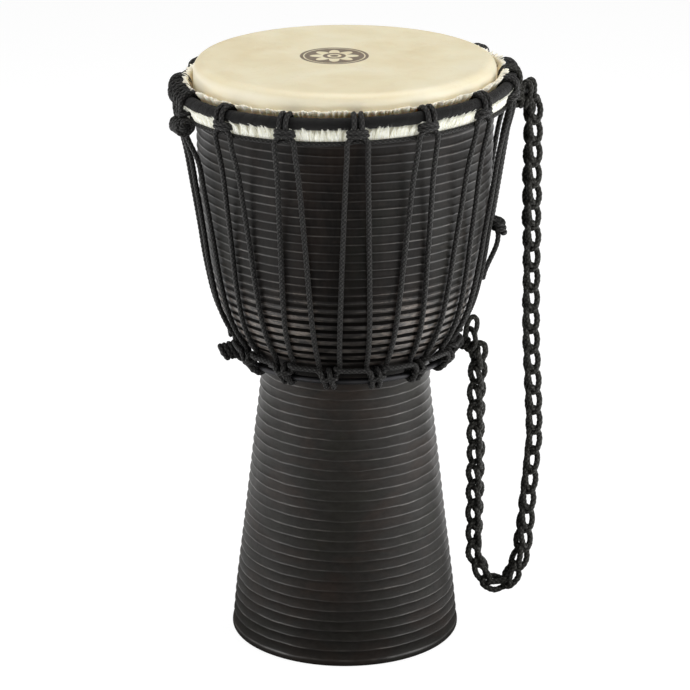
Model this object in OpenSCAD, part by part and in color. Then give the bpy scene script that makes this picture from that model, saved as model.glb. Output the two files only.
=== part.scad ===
// Rope-tuned goblet hand drum (djembe) with a chained rope shoulder strap.
// Origin: centre of the foot face. +Z runs up through the playing head, the front faces -Y
// and the strap hangs on the +X side.
// Bearings are degrees about Z, from 0 at the front (-Y) to 90 at the strap (+X).

/* [Shell] */
// Height of the finished drum, foot face to playing surface
drum_h = 500; // [480:1:520]
// Radius of the foot at the floor
foot_r = 97.6; // [96:0.1:99]
// Radius at the neck, the narrowest place
neck_r = 72.3; // [71.5:0.1:73]
// Height of the neck above the floor
neck_z = 222; // [218:1:226]
// Radius of the bowl at the rim
rim_r = 123; // [122.5:0.1:123]
// Wall thickness of the bowl at the rim
rim_wall = 14; // [10:1:16]
// Radius of the throat between bowl and foot
throat_r = 52; // [44:1:56]
// Radius of the open mouth in the foot
mouth_r = 84; // [78:1:86]
// Depth of the carved grooves
groove_d = 1.0; // [0.4:0.1:1.4]
// Spacing of the grooves on the bowl
groove_bowl = 7.35; // [6:0.05:9]
// Spacing of the grooves on the foot
groove_foot = 8.6; // [7:0.1:11]

/* [Head] */
// Thickness of the goatskin
skin_t = 0.9; // [0.6:0.1:0.9]
// Wall of the skin folded round the flesh ring
tuck_t = 0.9; // [0.6:0.1:0.9]
// Rod radius of the flesh ring
flesh_rod_r = 3.25; // [2.5:0.05:3.25]

/* [Rings] */
// Radius of the crown ring, drum axis to centre of the rod
crown_R = 135.1; // [135:0.1:135.4]
// Height of the crown ring
crown_z = 482.6; // [482.4:0.1:483]
// Rod radius of the crown ring
crown_rod_r = 3.25; // [2.5:0.05:3.4]
// Outer radius of the cloth wrapped round the crown ring
crown_wrap_r = 5.0; // [4.5:0.1:5.0]
// Radius of the bottom ring, drum axis to centre of the rod
bottom_R = 86.4; // [86.3:0.1:86.5]
// Height of the bottom ring
bottom_z = 250.5; // [250.3:0.1:250.7]
// Rod radius of the bottom ring
bottom_rod_r = 2.5; // [2.2:0.1:2.5]

/* [Rope] */
// Radius of the braided rope of the lacing
rope_r = 2.25; // [2:0.05:2.3]
// Number of hitches round each ring
hitches = 15; // [15]
// Bearing of one top hitch, from the front towards the strap side
top_phase = 4.1; // [0:0.1:8]
// Sides of the polygon that stands for the rope's section
rope_sides = 5; // [5:1:6]

/* [Strap] */
// Radius of the strap rope
strap_r = 2.35; // [2:0.05:2.4]
// Half width of one chain loop, between rope centres
loop_w = 5.25; // [5.2:0.05:5.4]
// Length of one chain loop between its end centres
loop_s = 12.75; // [12:0.05:13]
// Half width of the two anchor loops
anchor_w = 8.0; // [8:0.1:8.4]
// Distance of the strap's lowest loop from the drum axis
strap_x = 132.2; // [131:0.1:134]
// Height of the strap's lowest loop
strap_z = 35.6; // [33:0.1:40]

/* [Hidden] */
$fn = 96;

cord_black = [0.06, 0.06, 0.065];
strap_black = [0.055, 0.055, 0.06];

fit = 0.05;                              // clearance between nested parts
shell_top = drum_h - skin_t - 0.1;
flesh_R = crown_R - 6.8;
flesh_z = crown_z - 13.9;

step = 360 / hitches;                    // bearing from one hitch to the next
low_phase = top_phase + step / 2;        // bottom hitches fall midway between top ones
top_tie_bearing = top_phase - 3 * step;  // where the upper cord is tied off
low_tie_bearing = low_phase - 4 * step;  // where the lower cord is tied off
strap_bearing = 90;
tail_bearing = 86.5;
// Radius at which rope centres turn round each ring's rod
coil_top = crown_wrap_r + rope_r + 0.75;
coil_low = bottom_rod_r + rope_r + 0.4;

// ---------- Placing ----------
function degrees(length, radius) = length / radius * 180 / PI;
function place(bearing, radius, z) = [radius * sin(bearing), -radius * cos(bearing), z];
// The place a length along the arc from a bearing
function beside(bearing, along, radius, z) = place(bearing + degrees(along, radius), radius, z);
function arc(centre, radius, angles) = [for (a = angles) centre + radius * [cos(a), sin(a)]];
function reversed(list) = [for (i = [len(list) - 1 : -1 : 0]) list[i]];
// Turns local +X outward along a bearing
module facing(bearing) { rotate([0, 0, bearing - 90]) children(); }

// ---------- Shell ----------
// Stations of the outer outline as [height, radius], from the foot to the rim
stations = [
    [0, foot_r], [40, foot_r - 3.9], [110, foot_r - 12.5], [180, neck_r + 4.7],
    [neck_z, neck_r], [236, neck_r + 0.9], [248, neck_r + 3.7], [256, neck_r + 8.4],
    [264, neck_r + 15.6], [272, rim_r - 28.6], [284, rim_r - 22.2], [300, rim_r - 16.2],
    [330, rim_r - 9.8], [360, rim_r - 5.3], [390, rim_r - 2.3], [420, rim_r - 0.8], [500, rim_r]];
function chord_slope(from, to) = (to[1] - from[1]) / (to[0] - from[0]);
function slope(i) = i == len(stations) - 1 ? 0
    : chord_slope(stations[max(i - 1, 0)], stations[i + 1]);
// Index of the station at or below height z
function station(z, i = 0) =
    i >= len(stations) - 2 || z < stations[i + 1][0] ? i : station(z, i + 1);
// Cubic between two values with given end slopes, t from 0 to 1
function hermite(start, end, start_slope, end_slope, t) =
    (2 * t * t * t - 3 * t * t + 1) * start + (t * t * t - 2 * t * t + t) * start_slope
    + (3 * t * t - 2 * t * t * t) * end + (t * t * t - t * t) * end_slope;
// Outer radius of the shell at height z, over the crests of the carving
function outline(z) = let (i = station(z), span = stations[i + 1][0] - stations[i][0])
    hermite(stations[i][1], stations[i + 1][1], slope(i) * span, slope(i + 1) * span,
            (z - stations[i][0]) / span);

foot_bevel = 1.2;
rim_round_out = 4;
rim_round_in = 3;
foot_groove_z = 5;
foot_groove_n = floor((neck_z + 22) / groove_foot);
bowl_groove_z = 266;
bowl_groove_n = floor((462 - bowl_groove_z) / groove_bowl);
// Crest and groove in turn, half a spacing apart
function grooves(start, count, spacing) = [for (k = [0 : count - 1], half = [0, 1])
    let (z = start + (k + half / 2) * spacing) [outline(z) - half * groove_d, z]];
outer_pts = concat(
    [[mouth_r + 1.5, 0], [foot_r - foot_bevel, 0], [outline(foot_bevel), foot_bevel]],
    grooves(foot_groove_z, foot_groove_n, groove_foot),
    [for (z = [neck_z + 25, 254, 260]) [outline(z), z]],
    grooves(bowl_groove_z, bowl_groove_n, groove_bowl),
    [[outline(460), 460], [rim_r, 480]],
    arc([rim_r - rim_round_out, shell_top - rim_round_out], rim_round_out, [0 : 22.5 : 90]),
    arc([rim_r - rim_wall + rim_round_in, shell_top - rim_round_in], rim_round_in,
        [90 : 30 : 150]));

bowl_depth = 190;   // height over the neck at which the bowl reaches its full inner radius
function inner_r(z) = z > neck_z
    ? throat_r + (rim_r - rim_wall - throat_r)
        * pow(sin(90 * min(1, (z - neck_z) / bowl_depth)), 0.8)
    : throat_r + (mouth_r - throat_r) * pow((neck_z - z) / neck_z, 1.35);
inner_z = [shell_top - 5, 440, 410, 385, 360, 335, 310, 288, 268, 250, 236, 226, neck_z,
           205, 180, 150, 120, 90, 60, 30, 2];

module shell() {
    color([0.07, 0.06, 0.055])
    rotate_extrude() polygon(concat(outer_pts, [for (z = inner_z) [inner_r(z), z]]));
}

// ---------- Head, rings and skin ----------
// Flat skin with a rounded corner and a collar down to the flesh ring
module drumhead() {
    inside = rim_r + fit;
    outside = inside + skin_t;
    corner = 4.75;
    corner_centre = [outside - corner, drum_h - corner];
    collar_z = flesh_z + 2.6;
    color([0.91, 0.83, 0.66])
    rotate_extrude() polygon(concat(
        [[0, drum_h - skin_t], [0, drum_h]],
        arc(corner_centre, corner, [90 : -15 : 0]),
        [[outside, collar_z], [inside, collar_z]],
        arc(corner_centre, corner - skin_t, [0 : 15 : 90])));
}

module torus(radius, rod) { rotate_extrude() translate([radius, 0]) circle(rod, $fn = 32); }
module ring(radius, z, rod) { translate([0, 0, z]) torus(radius, rod); }
module bottom_ring() { color([0.16, 0.16, 0.17]) ring(bottom_R, bottom_z, bottom_rod_r); }
module crown_ring_rod() { color([0.35, 0.35, 0.36]) ring(crown_R, crown_z, crown_rod_r); }
module flesh_ring() { color([0.55, 0.55, 0.56]) ring(flesh_R, flesh_z, flesh_rod_r); }
module crown_ring_wrap() {
    color([0.05, 0.05, 0.055])
    translate([0, 0, crown_z]) rotate_extrude() translate([crown_R, 0]) difference() {
        circle(crown_wrap_r, $fn = 48);
        circle(crown_rod_r + fit, $fn = 32);
    }
}

// Skin folded round the flesh ring, with a trimmed frill rising beside the head's collar
module skin_tuck() {
    fold_r = flesh_rod_r + fit + tuck_t;
    frill_in = flesh_R - fold_r;
    frill_out = frill_in + 0.5;
    color([0.88, 0.82, 0.68]) rotate_extrude() difference() {
        union() {
            translate([flesh_R, flesh_z]) circle(fold_r, $fn = 48);
            polygon([[frill_in, flesh_z], [frill_out, flesh_z + 0.01],
                     [frill_out, crown_z + 3.9], [flesh_R - 1.2, crown_z + 8.0],
                     [flesh_R - 1.8, crown_z + 8.4], [frill_in, crown_z + 4.7]]);
        }
        translate([flesh_R, flesh_z]) circle(flesh_rod_r + fit, $fn = 32);
    }
}

// Goat hair left on the folded edge, showing between the hitches under the crown ring
hair_gap = 12.5;    // degrees left bare at each hitch
hair_stop = 86.4;   // bearing where the tuft that would cross the strap is cut short
// Section of a tuft as [radius, height] from the centre of the flesh ring's rod
hair_section = [[4.8, -1.5], [5.9, -1.5], [5.9, 6.6], [4.8, 7.8], [3.7, 7.8], [3.7, 5]];
module goat_hair_fringe() {
    sweep = step - hair_gap;
    color([0.93, 0.92, 0.88])
    for (k = [0 : hitches - 1]) let (start = top_phase + k * step + hair_gap / 2)
        facing(start)
        rotate_extrude(angle = start < strap_bearing && start + sweep > hair_stop
                               ? hair_stop - start : sweep)
            polygon([for (p = hair_section) [flesh_R, flesh_z] + p]);
}

// ---------- Rope as a swept tube ----------
function unit(v) = v / norm(v);
function tangent(path, i) = unit(path[min(i + 1, len(path) - 1)] - path[max(i - 1, 0)]);
// Unit vector nearest to normal that is square to along
function square_up(normal, along) = unit(normal - (normal * along) * along);
// One normal per path point, carried from point to point so that the tube doesn't twist
function normals(path) =
    let (first = tangent(path, 0), seed = abs(first[2]) < 0.9 ? [0, 0, 1] : [1, 0, 0])
    [for (i = 0, n = square_up(seed, first);
          i < len(path);
          i = i + 1, n = i < len(path) ? square_up(n, tangent(path, i)) : n) n];
module rope(path, radius, sides) {
    across = normals(path);
    last = len(path) - 1;
    points = [for (i = [0 : last]) let (other = cross(tangent(path, i), across[i]))
        for (j = [0 : sides - 1]) let (a = 360 * j / sides)
            path[i] + radius * (cos(a) * across[i] + sin(a) * other)];
    polyhedron(points = points, faces = concat(
        [[for (j = [0 : sides - 1]) j]],
        [for (i = [0 : last - 1], j = [0 : sides - 1])
            let (near = i * sides + j, next = i * sides + (j + 1) % sides)
            for (face = [[near, near + sides, next], [next, near + sides, next + sides]]) face],
        [[for (j = [sides - 1 : -1 : 0]) last * sides + j]]));
}
module straight_rope(length, radius = rope_r) { cylinder(r = radius, h = length, $fn = 32); }

// ---------- Cradle cords ----------
// One pass over a ring as [outward, up] in coil radii
over_ring = [[1, 0], [0.72, 0.7], [0, 1], [-0.72, 0.7], [-1, 0], [-0.87, -0.5]];
// Distances along the ring at the points of each pass
first_pass = [-3.1, -3, -3, -2.8, -2.6, -2.4];
second_pass = [3, 3, 3, 3.1, 3.3, 3.5];
function coil_pass(along, coil) =
    [for (i = [0 : len(along) - 1]) [along[i], coil * over_ring[i][0], coil * over_ring[i][1]]];
function hitch_path(lead_in, between, lead_out, coil) = concat(
    lead_in, coil_pass(first_pass, coil), between, coil_pass(second_pass, coil), lead_out);

// Hitches as [along, outward, up] from the rod's centre: along behind a leg, over the ring,
// down through the arch, over again, and on
top_hitch = hitch_path(
    [[-14, 0.1, -18], [-8, -0.25, -15.2], [-6.4, 1.0, -10], [-4.2, 6.1, -6.2]],
    [[-2.1, -4.2, -6.5], [-1.8, -0.35, -11.7], [-1.2, 0.2, -16], [-0.3, 3.6, -18.3],
     [0.5, 7.8, -16.8], [1.6, 9.4, -11.2], [2.6, 8.4, -4.8]],
    [[3.8, -4.3, -6.6], [5.2, 0.1, -10.4], [8, -0.25, -15.4], [14, 0.1, -18]],
    coil_top);
// The bottom hitch takes the same turns and is placed upside down
low_hitch = hitch_path(
    [[-15, 5.2, -13.4], [-8.6, 4.8, -12.3], [-6.4, 4.6, -7.6], [-4.3, 5.8, -3.0]],
    [[-2.2, -2.5, -4.9], [-1.6, 0.1, -8.6], [-0.9, 3.2, -12.4], [0, 7.6, -13.2],
     [0.7, 12.4, -11.4], [1.6, 15.1, -6.5], [2.7, 11.2, -1.1]],
    [[3.8, -2.2, -5.0], [5.4, 1.6, -8.6], [8.6, 4.8, -12.2], [15, 5.2, -13.4]],
    coil_low);

// Bearings of the hitches between one tie and itself, once round
function hitch_bearings(tie) = [for (k = [1 : hitches - 1]) tie + k * step];
// Cord hitched round a ring; up is -1 for upside down, its ends stop end_gap short of the tie
module cradle_cord(hitch, tie, ring_R, ring_z, up, end_gap) {
    function on_ring(bearing, p) = beside(bearing, p[0], ring_R + p[1], ring_z + up * p[2]);
    out = hitch[0][1];
    rise = hitch[0][2];
    rope(concat([on_ring(tie, [end_gap, out, rise])],
                [for (bearing = hitch_bearings(tie)) for (p = hitch) on_ring(bearing, p)],
                [on_ring(tie + 360, [-end_gap, out, rise])]), rope_r, rope_sides);
}
module upper_cradle_cord() {
    color(cord_black)
    cradle_cord(top_hitch, top_tie_bearing, crown_R, crown_z, up = 1, end_gap = 15.5);
}
module lower_cradle_cord() {
    color(cord_black)
    cradle_cord(low_hitch, low_tie_bearing, bottom_R, bottom_z, up = -1, end_gap = 11);
}

// ---------- Tension rope ----------
// Arches pass through the top hitches, bends through the bottom ones
arch_half = 8;
arch_R = crown_R + 4.2;
arch_z = crown_z - 19.9;
bend_half = 8.4;
bend_R = bottom_R + 10.0;
bend_z = bottom_z + 14.8;
leg_top_z = arch_z - 6;
leg_foot_z = 270;
// The legs lie on the bowl below lift_z, then run straight to the crown ring
lift_z = 360;
lift_slope = 0.142;
leg_gap = 0.7;
leg_z = [449, lift_z, 338, 318, 303, 292, 283, 275];
function leg_radius(z) =
    outline(min(z, lift_z)) + rope_r + leg_gap + max(0, z - lift_z) * lift_slope;

// Side is 1 for the leg on the side of growing bearing, -1 for the other
function leg_top(bearing, side) = bearing + side * degrees(arch_half, arch_R);
function leg_foot(bearing, side) = bearing + side * (step / 2 - degrees(bend_half, bend_R));
// The part of a leg below its top hitch, running down
function leg_run(bearing, side) =
    let (top = leg_top(bearing, side), foot = leg_foot(bearing, side))
    concat([for (z = leg_z)
                place(top + (foot - top) * (leg_top_z - z) / (leg_top_z - leg_foot_z),
                      leg_radius(z), z)],
           [place(foot, bend_R, bend_z)]);
function leg(bearing, side) = let (top = leg_top(bearing, side))
    concat([place(top, arch_R, arch_z), place(top, arch_R - 1.6, leg_top_z)],
           leg_run(bearing, side));
// Round end between two legs; up is 1 for an arch, -1 for a bend
function round_end(bearing, half, radius, z, up) =
    [for (a = [150 : -30 : 30]) beside(bearing, half * cos(a), radius, z + up * half * sin(a))];
function arch(bearing) = round_end(bearing, arch_half, arch_R, arch_z, 1);
function bend(bearing) = round_end(bearing, bend_half, bend_R, bend_z, -1);

module tension_rope() {
    tie = top_tie_bearing;
    color(cord_black)
    rope(concat(
        leg_run(tie, 1), bend(tie + step / 2),
        [for (b = hitch_bearings(tie))
            for (p = concat(reversed(leg(b, -1)), arch(b), leg(b, 1), bend(b + step / 2))) p],
        reversed(leg_run(tie + 360, -1))), rope_r, rope_sides);
}

// ---------- Knots ----------
knot_rope_r = 2.4;
knot_pitch = 4.2;
turn_pair = [-3, 3];   // offsets of the two turns of a hitch from its bearing
// A barrel of touching rope turns with a solid core, axis along +X
module barrel(turns, radius) {
    half = (turns - 1) / 2;
    for (i = [0 : turns - 1])
        translate([(i - half) * knot_pitch, 0, 0]) rotate([0, 90, 0]) torus(radius, knot_rope_r);
    translate([-half * knot_pitch, 0, 0]) rotate([0, 90, 0])
        cylinder(r = radius, h = (turns - 1) * knot_pitch, $fn = 48);
}
// Single turns of rope round a ring, at offsets along it from a bearing
module ring_turns(bearing, offsets, ring_R, ring_z, coil) {
    for (along = offsets) facing(bearing + degrees(along, ring_R))
        translate([ring_R, 0, ring_z]) rotate([90, 0, 0]) torus(coil, rope_r);
}

module upper_tie_knot() {
    color(cord_black) {
        ring_turns(top_tie_bearing, turn_pair, crown_R, crown_z, coil_top);
        facing(top_tie_bearing) translate([crown_R + 6.5, 0, crown_z - 25]) {
            rotate([0, -18, 90]) barrel(turns = 5, radius = 6.2);
            for (y = turn_pair) translate([1.3, y, 8]) straight_rope(14);
        }
    }
}
module lower_tie_knot() {
    color(cord_black) {
        ring_turns(low_tie_bearing, turn_pair, bottom_R, bottom_z, coil_low);
        facing(low_tie_bearing) translate([bottom_R + 19.1, 0, bottom_z + 2.2]) {
            rotate([0, 6, 0]) barrel(turns = 3, radius = 4.3);
            for (y = turn_pair) translate([-13.2, y, -2.8]) rotate([0, 90, 0]) straight_rope(9.2);
        }
    }
}

// Loose rope down the bowl beside the strap, ending in a knot
tail_gap = 0.4;
tail_z = [452, 438, 420, 400, 380, 369];
module tail_rope() {
    color(cord_black)
    rope(concat([place(tail_bearing, crown_R + 0.6, crown_z - 21.6)],
                [for (z = tail_z) place(tail_bearing, leg_radius(z) + tail_gap, z)]), rope_r, 8);
}
module tail_knot() {
    color(cord_black)
    facing(tail_bearing) translate([leg_radius(lift_z) + 3.5, 0, 359]) {
        rotate([0, 84, 0]) barrel(turns = 3, radius = 3.2);
        translate([-1, 0, -5]) rotate([0, 187, 0]) straight_rope(46);
    }
}

// ---------- Strap ----------
// Two strands of chained loops rise in the XZ plane from one lowest loop. Side is 1 for the
// outer strand, -1 for the inner one, nearer the drum.
outer_n = 24;
inner_n = 12;
upper_fold = 11;   // first loop above the upper fold
lower_fold = 5;    // first loop above the lower fold

// Angle of loop i above the floor plane; over 90 leans back towards the other strand
function lean(i, side) = i == 1 ? 56 : i == 2 ? 86 : side < 0 ? 90 : i < 9 ? 86 : i < 14 ? 93 : 90.4;
function loop_dir(i, side) = let (a = lean(i, side)) [side * cos(a), 0, sin(a)];
// [start, end] centres of each loop, link by link, so that every bend turns about a rope centre
function strand_loops(side, count) =
    [for (i = 1,
          start = [strap_x + side * loop_s / 2, 0, strap_z] + loop_w * loop_dir(1, side),
          end = start + loop_s * loop_dir(1, side);
          i <= count;
          i = i + 1,
          start = end + loop_w * loop_dir(i % 2 == 1 ? i : i - 1, side),
          end = start + loop_s * loop_dir(i, side))
        [start, end]];
outer_loops = strand_loops(1, outer_n);
inner_loops = strand_loops(-1, inner_n);
// Rope centre at the far end of a strand's top loop, where its anchor loop catches it
function hook(loops, side) =
    loops[len(loops) - 1][1] + loop_w * loop_dir(len(loops), side);

// A closed loop in the XZ plane, rising from its first end centre at the origin
module rope_loop(half_width, length) {
    rotate([90, 0, 0]) {
        for (end = [0, 1]) translate([0, end * length, 0]) rotate([0, 0, end * 180 + 180])
            rotate_extrude(angle = 180) translate([half_width, 0]) circle(strap_r, $fn = 32);
        for (side = [-1, 1]) translate([side * half_width, 0, 0]) rotate([-90, 0, 0])
            straight_rope(length, strap_r);
    }
}
// Loops first to last of a strand: even ones lie in the strap's plane, odd ones square to it
module strand(loops, first, last) {
    for (i = [first : last]) let (start = loops[i - 1][0], run = loops[i - 1][1] - start)
        translate(start) rotate([0, atan2(run[0], run[2]), 0])
            rotate([0, 0, i % 2 == 0 ? 0 : 90]) rope_loop(loop_w, norm(run));
}
module anchor_loop(length) { rotate([0, 0, 90]) rope_loop(anchor_w, length); }

module strap_outer_upper() { color(strap_black) strand(outer_loops, upper_fold, outer_n); }
module strap_inner_upper() { color(strap_black) strand(inner_loops, upper_fold, inner_n); }
module strap_outer_middle() {
    color(strap_black) strand(outer_loops, lower_fold, upper_fold - 1);
}
module strap_inner_middle() {
    color(strap_black) strand(inner_loops, lower_fold, upper_fold - 1);
}
module strap_bottom() {
    color(strap_black) {
        translate([strap_x - loop_s / 2, 0, strap_z]) rotate([0, 90, 0])
            rope_loop(loop_w, loop_s);
        strand(outer_loops, 1, lower_fold - 1);
        strand(inner_loops, 1, lower_fold - 1);
    }
}
module strap_upper_hitch() {
    top = hook(outer_loops, 1);
    color(strap_black) {
        ring_turns(strap_bearing, [-4.8, 0, 4.8], crown_R, crown_z, coil_top);
        translate([crown_R + 12.4, 0, crown_z]) rotate([0, 8, 0]) barrel(turns = 3, radius = 6.2);
        translate(top) anchor_loop(crown_z - top[2] - 1);
    }
}
module strap_lower_lashing() {
    top = hook(inner_loops, -1);
    color(strap_black) {
        ring_turns(strap_bearing, [13, 18], bottom_R, bottom_z, coil_low);
        // From between the two ring turns out to one side of the anchor loop
        rope([beside(strap_bearing, 15.5, bottom_R + coil_low - 1, bottom_z - 0.6),
              beside(strap_bearing, 15.2, bottom_R + 13, bottom_z + 1.5),
              beside(strap_bearing, 14, top[0] - 4, top[2] - 1.5),
              beside(strap_bearing, 11.5, top[0] - 0.6, top[2] + 2.2),
              [top[0], anchor_w - 0.3, top[2] + 7]], strap_r, 8);
        translate(top) anchor_loop(11);
    }
}

shell();
drumhead();
bottom_ring();
lower_cradle_cord();
lower_tie_knot();
tension_rope();
strap_lower_lashing();
crown_ring_rod();
crown_ring_wrap();
flesh_ring();
skin_tuck();
goat_hair_fringe();
upper_cradle_cord();
upper_tie_knot();
strap_upper_hitch();
tail_rope();
tail_knot();
strap_outer_upper();
strap_inner_upper();
strap_outer_middle();
strap_inner_middle();
strap_bottom();
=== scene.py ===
"""A rope-laced goblet drum with a carved black wooden shell, a goatskin head and a rope strap.

The drum stands upright on Z, its foot at z = 0 and its head at z = 500 mm. Azimuths are in
degrees: 0 faces -Y, towards the camera, and 90 faces +X, where the strap hangs.
Shapes are built in millimetres and scaled to metres when a mesh is made.
"""
import math

import bpy
import numpy as np
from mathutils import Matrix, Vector


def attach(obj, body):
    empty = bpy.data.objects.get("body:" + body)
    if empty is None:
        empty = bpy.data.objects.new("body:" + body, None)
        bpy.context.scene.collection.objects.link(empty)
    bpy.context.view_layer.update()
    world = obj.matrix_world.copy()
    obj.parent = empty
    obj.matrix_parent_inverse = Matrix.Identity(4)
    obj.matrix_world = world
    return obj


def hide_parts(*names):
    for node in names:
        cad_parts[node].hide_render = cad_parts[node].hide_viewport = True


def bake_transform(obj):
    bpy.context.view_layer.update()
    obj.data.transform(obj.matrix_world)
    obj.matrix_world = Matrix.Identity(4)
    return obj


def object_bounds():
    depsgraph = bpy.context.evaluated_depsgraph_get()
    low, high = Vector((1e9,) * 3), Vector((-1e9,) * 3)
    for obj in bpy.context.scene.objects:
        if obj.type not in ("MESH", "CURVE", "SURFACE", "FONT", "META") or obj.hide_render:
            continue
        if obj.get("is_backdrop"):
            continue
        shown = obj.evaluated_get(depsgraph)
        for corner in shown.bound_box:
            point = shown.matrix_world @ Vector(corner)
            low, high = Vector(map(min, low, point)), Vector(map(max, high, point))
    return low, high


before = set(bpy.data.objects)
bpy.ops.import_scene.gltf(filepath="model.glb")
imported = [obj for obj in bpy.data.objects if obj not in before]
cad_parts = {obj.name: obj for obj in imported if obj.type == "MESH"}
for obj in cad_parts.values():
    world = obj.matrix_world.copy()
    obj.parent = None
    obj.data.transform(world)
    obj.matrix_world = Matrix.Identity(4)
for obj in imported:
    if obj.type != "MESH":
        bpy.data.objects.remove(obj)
cad_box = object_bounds()

TAU = 2 * math.pi

# ---------------------------------------------------------------- the drum's measures (mm)
SHELL_R, SHELL_TOP = 123, 499
CROWN_R, CROWN_Z, WRAP_R, CROWN_ROD = 135.1, 482.6, 5.0, 3.25   # taped ring and its rod
FLESH_R, FLESH_Z, FLESH_ROD = CROWN_R - 6.8, CROWN_Z - 13.9, 2.9  # ring inside the folded skin
BOTTOM_R, BOTTOM_Z, BOTTOM_ROD = 86.4, 250.5, 2.5               # ring at the waist
CROWN, BOTTOM = (CROWN_R, CROWN_Z), (BOTTOM_R, BOTTOM_Z)

ROPE_R = 2.25
TIES = 15                             # hitches round each ring
STEP = 360 / TIES
TOP_PHASE = 4.1                       # azimuth of an upper hitch; lower ones lie halfway between
LOW_PHASE = TOP_PHASE + STEP / 2
FIRST_TOP = TOP_PHASE - 3 * STEP      # where the lacing is tied off, above and below
FIRST_LOW = LOW_PHASE - 4 * STEP
COIL_TOP = WRAP_R + ROPE_R + 0.75     # radius of a rope turn round each ring
COIL_LOW = BOTTOM_ROD + ROPE_R + 0.4
ARCH_U, ARCH_R, ARCH_Z = 8.3, CROWN_R + 4.0, CROWN_Z - 18.4      # half width, place of top arches
BEND_U, BEND_R, BEND_Z = 8.4, BOTTOM_R + 6.2, BOTTOM_Z + 14.8    # and of the lower bends


# ---------------------------------------------------------------- numeric helpers
def wobble(seed, freqs, peak):
    """A seeded periodic function of an angle: a sum of cosines that stays within peak."""
    rng = np.random.default_rng(seed)
    phases = rng.uniform(0, TAU, len(freqs))
    amps = rng.uniform(0.5, 1.0, len(freqs))
    amps = peak * amps / amps.sum()
    return lambda angle: sum(a * np.cos(f * angle + p) for a, f, p in zip(amps, freqs, phases))


def full_turn(count):
    return np.arange(count) / count * TAU


def around(theta, r, z):
    """Points at azimuth theta (radians), radius r and height z, broadcast together."""
    return np.stack(np.broadcast_arrays(r * np.sin(theta), -r * np.cos(theta), z), -1)


def torus(theta, phi, major, height, minor):
    return around(theta, major + minor * np.cos(phi), height + minor * np.sin(phi))


def polar(az, r, z):
    return around(np.radians(az), r, z)


def local(az, u, r, z):
    """A point u mm along the circle of radius r from azimuth az."""
    return polar(az + np.degrees(u / r), r, z)


def near(az, ring, offsets):
    """Points given as (along, outward, up) from the place of a (radius, height) ring at az."""
    return [local(az, u, ring[0] + out, ring[1] + up) for u, out, up in offsets]


def square_to(vector, axis):
    """The unit vector nearest to vector that is square to axis."""
    vector = vector - (vector @ axis) * axis
    return vector / np.linalg.norm(vector)


def reflect(vector, chord):
    return vector - (2 / (chord @ chord)) * (chord @ vector) * chord


def between(left, right, t, start, end):
    return (end - t) / (end - start) * left + (t - start) / (end - start) * right


def smooth(points, step, closed=False):
    """A centripetal Catmull-Rom curve through points, resampled at equal steps, and its length."""
    points = np.asarray(points, float)
    if closed:
        knots = np.vstack([points[-1], points, points[0], points[1]])
    else:
        knots = np.vstack([2 * points[0] - points[1], points, 2 * points[-1] - points[-2]])
    pieces = []
    for i in range(1, len(knots) - 2):
        four = knots[i - 1:i + 3]
        gaps = [np.linalg.norm(b - a) for a, b in zip(four, four[1:])]
        times = np.cumsum([0.0] + [max(gap, 1e-4) ** 0.5 for gap in gaps])
        count = max(3, int(math.ceil(gaps[1] / step * 1.6)))
        t = np.linspace(times[1], times[2], count, endpoint=False)[:, None]
        one, two, three = (between(four[k], four[k + 1], t, times[k], times[k + 1])
                           for k in range(3))
        left = between(one, two, t, times[0], times[2])
        right = between(two, three, t, times[1], times[3])
        pieces.append(between(left, right, t, times[1], times[2]))
    pieces.append(points[0:1] if closed else points[-1:])
    curve = np.vstack(pieces)
    travel = np.concatenate([[0], np.cumsum(np.linalg.norm(np.diff(curve, axis=0), axis=1))])
    length = travel[-1]
    stops = np.linspace(0, length, max(4, int(round(length / step))) + 1)
    if closed:
        stops = stops[:-1]
    return np.stack([np.interp(stops, travel, curve[:, k]) for k in range(3)], 1), length


def tangents_of(curve, closed=False):
    if closed:
        tangents = np.roll(curve, -1, 0) - np.roll(curve, 1, 0)
    else:
        tangents = np.gradient(curve, axis=0)
    return tangents / np.linalg.norm(tangents, axis=1)[:, None]


def frames(curve, closed):
    """Rotation-minimising normals along curve, and their binormals."""
    tangents = tangents_of(curve, closed)
    start = np.array([0, 0, 1.0]) if abs(tangents[0][2]) < 0.9 else np.array([1.0, 0, 0])
    normals = np.zeros_like(curve)
    normals[0] = square_to(start, tangents[0])
    for i in range(len(curve) - 1):
        chord = curve[i + 1] - curve[i]
        if chord @ chord < 1e-12:
            normals[i + 1] = normals[i]
            continue
        normal = reflect(normals[i], chord)
        change = tangents[i + 1] - reflect(tangents[i], chord)
        if change @ change >= 1e-12:
            normal = reflect(normal, change)
        normals[i + 1] = square_to(normal, tangents[i + 1])
    if closed:
        # spread the closing twist evenly
        last = square_to(normals[-1], tangents[0])
        twist = math.atan2(np.cross(last, normals[0]) @ tangents[0], last @ normals[0])
        share = np.linspace(0, twist, len(curve))[:, None]
        normals = np.cos(share) * normals + np.sin(share) * np.cross(tangents, normals)
    return normals, np.cross(tangents, normals)


def hang(points):
    """Shift what belongs to the crown: it was hauled down by hand and sits lower towards -X."""
    points = np.array(points, float)
    x, z = points[:, 0], points[:, 2]
    weight = np.clip((z - 380) / 75, 0, 1)
    weight = weight * weight * (3 - 2 * weight)
    points[:, 2] += weight * (0.031 * x - 0.4 - 2.0 * np.clip((z - 464) / 12, 0, 1))
    return points


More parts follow.
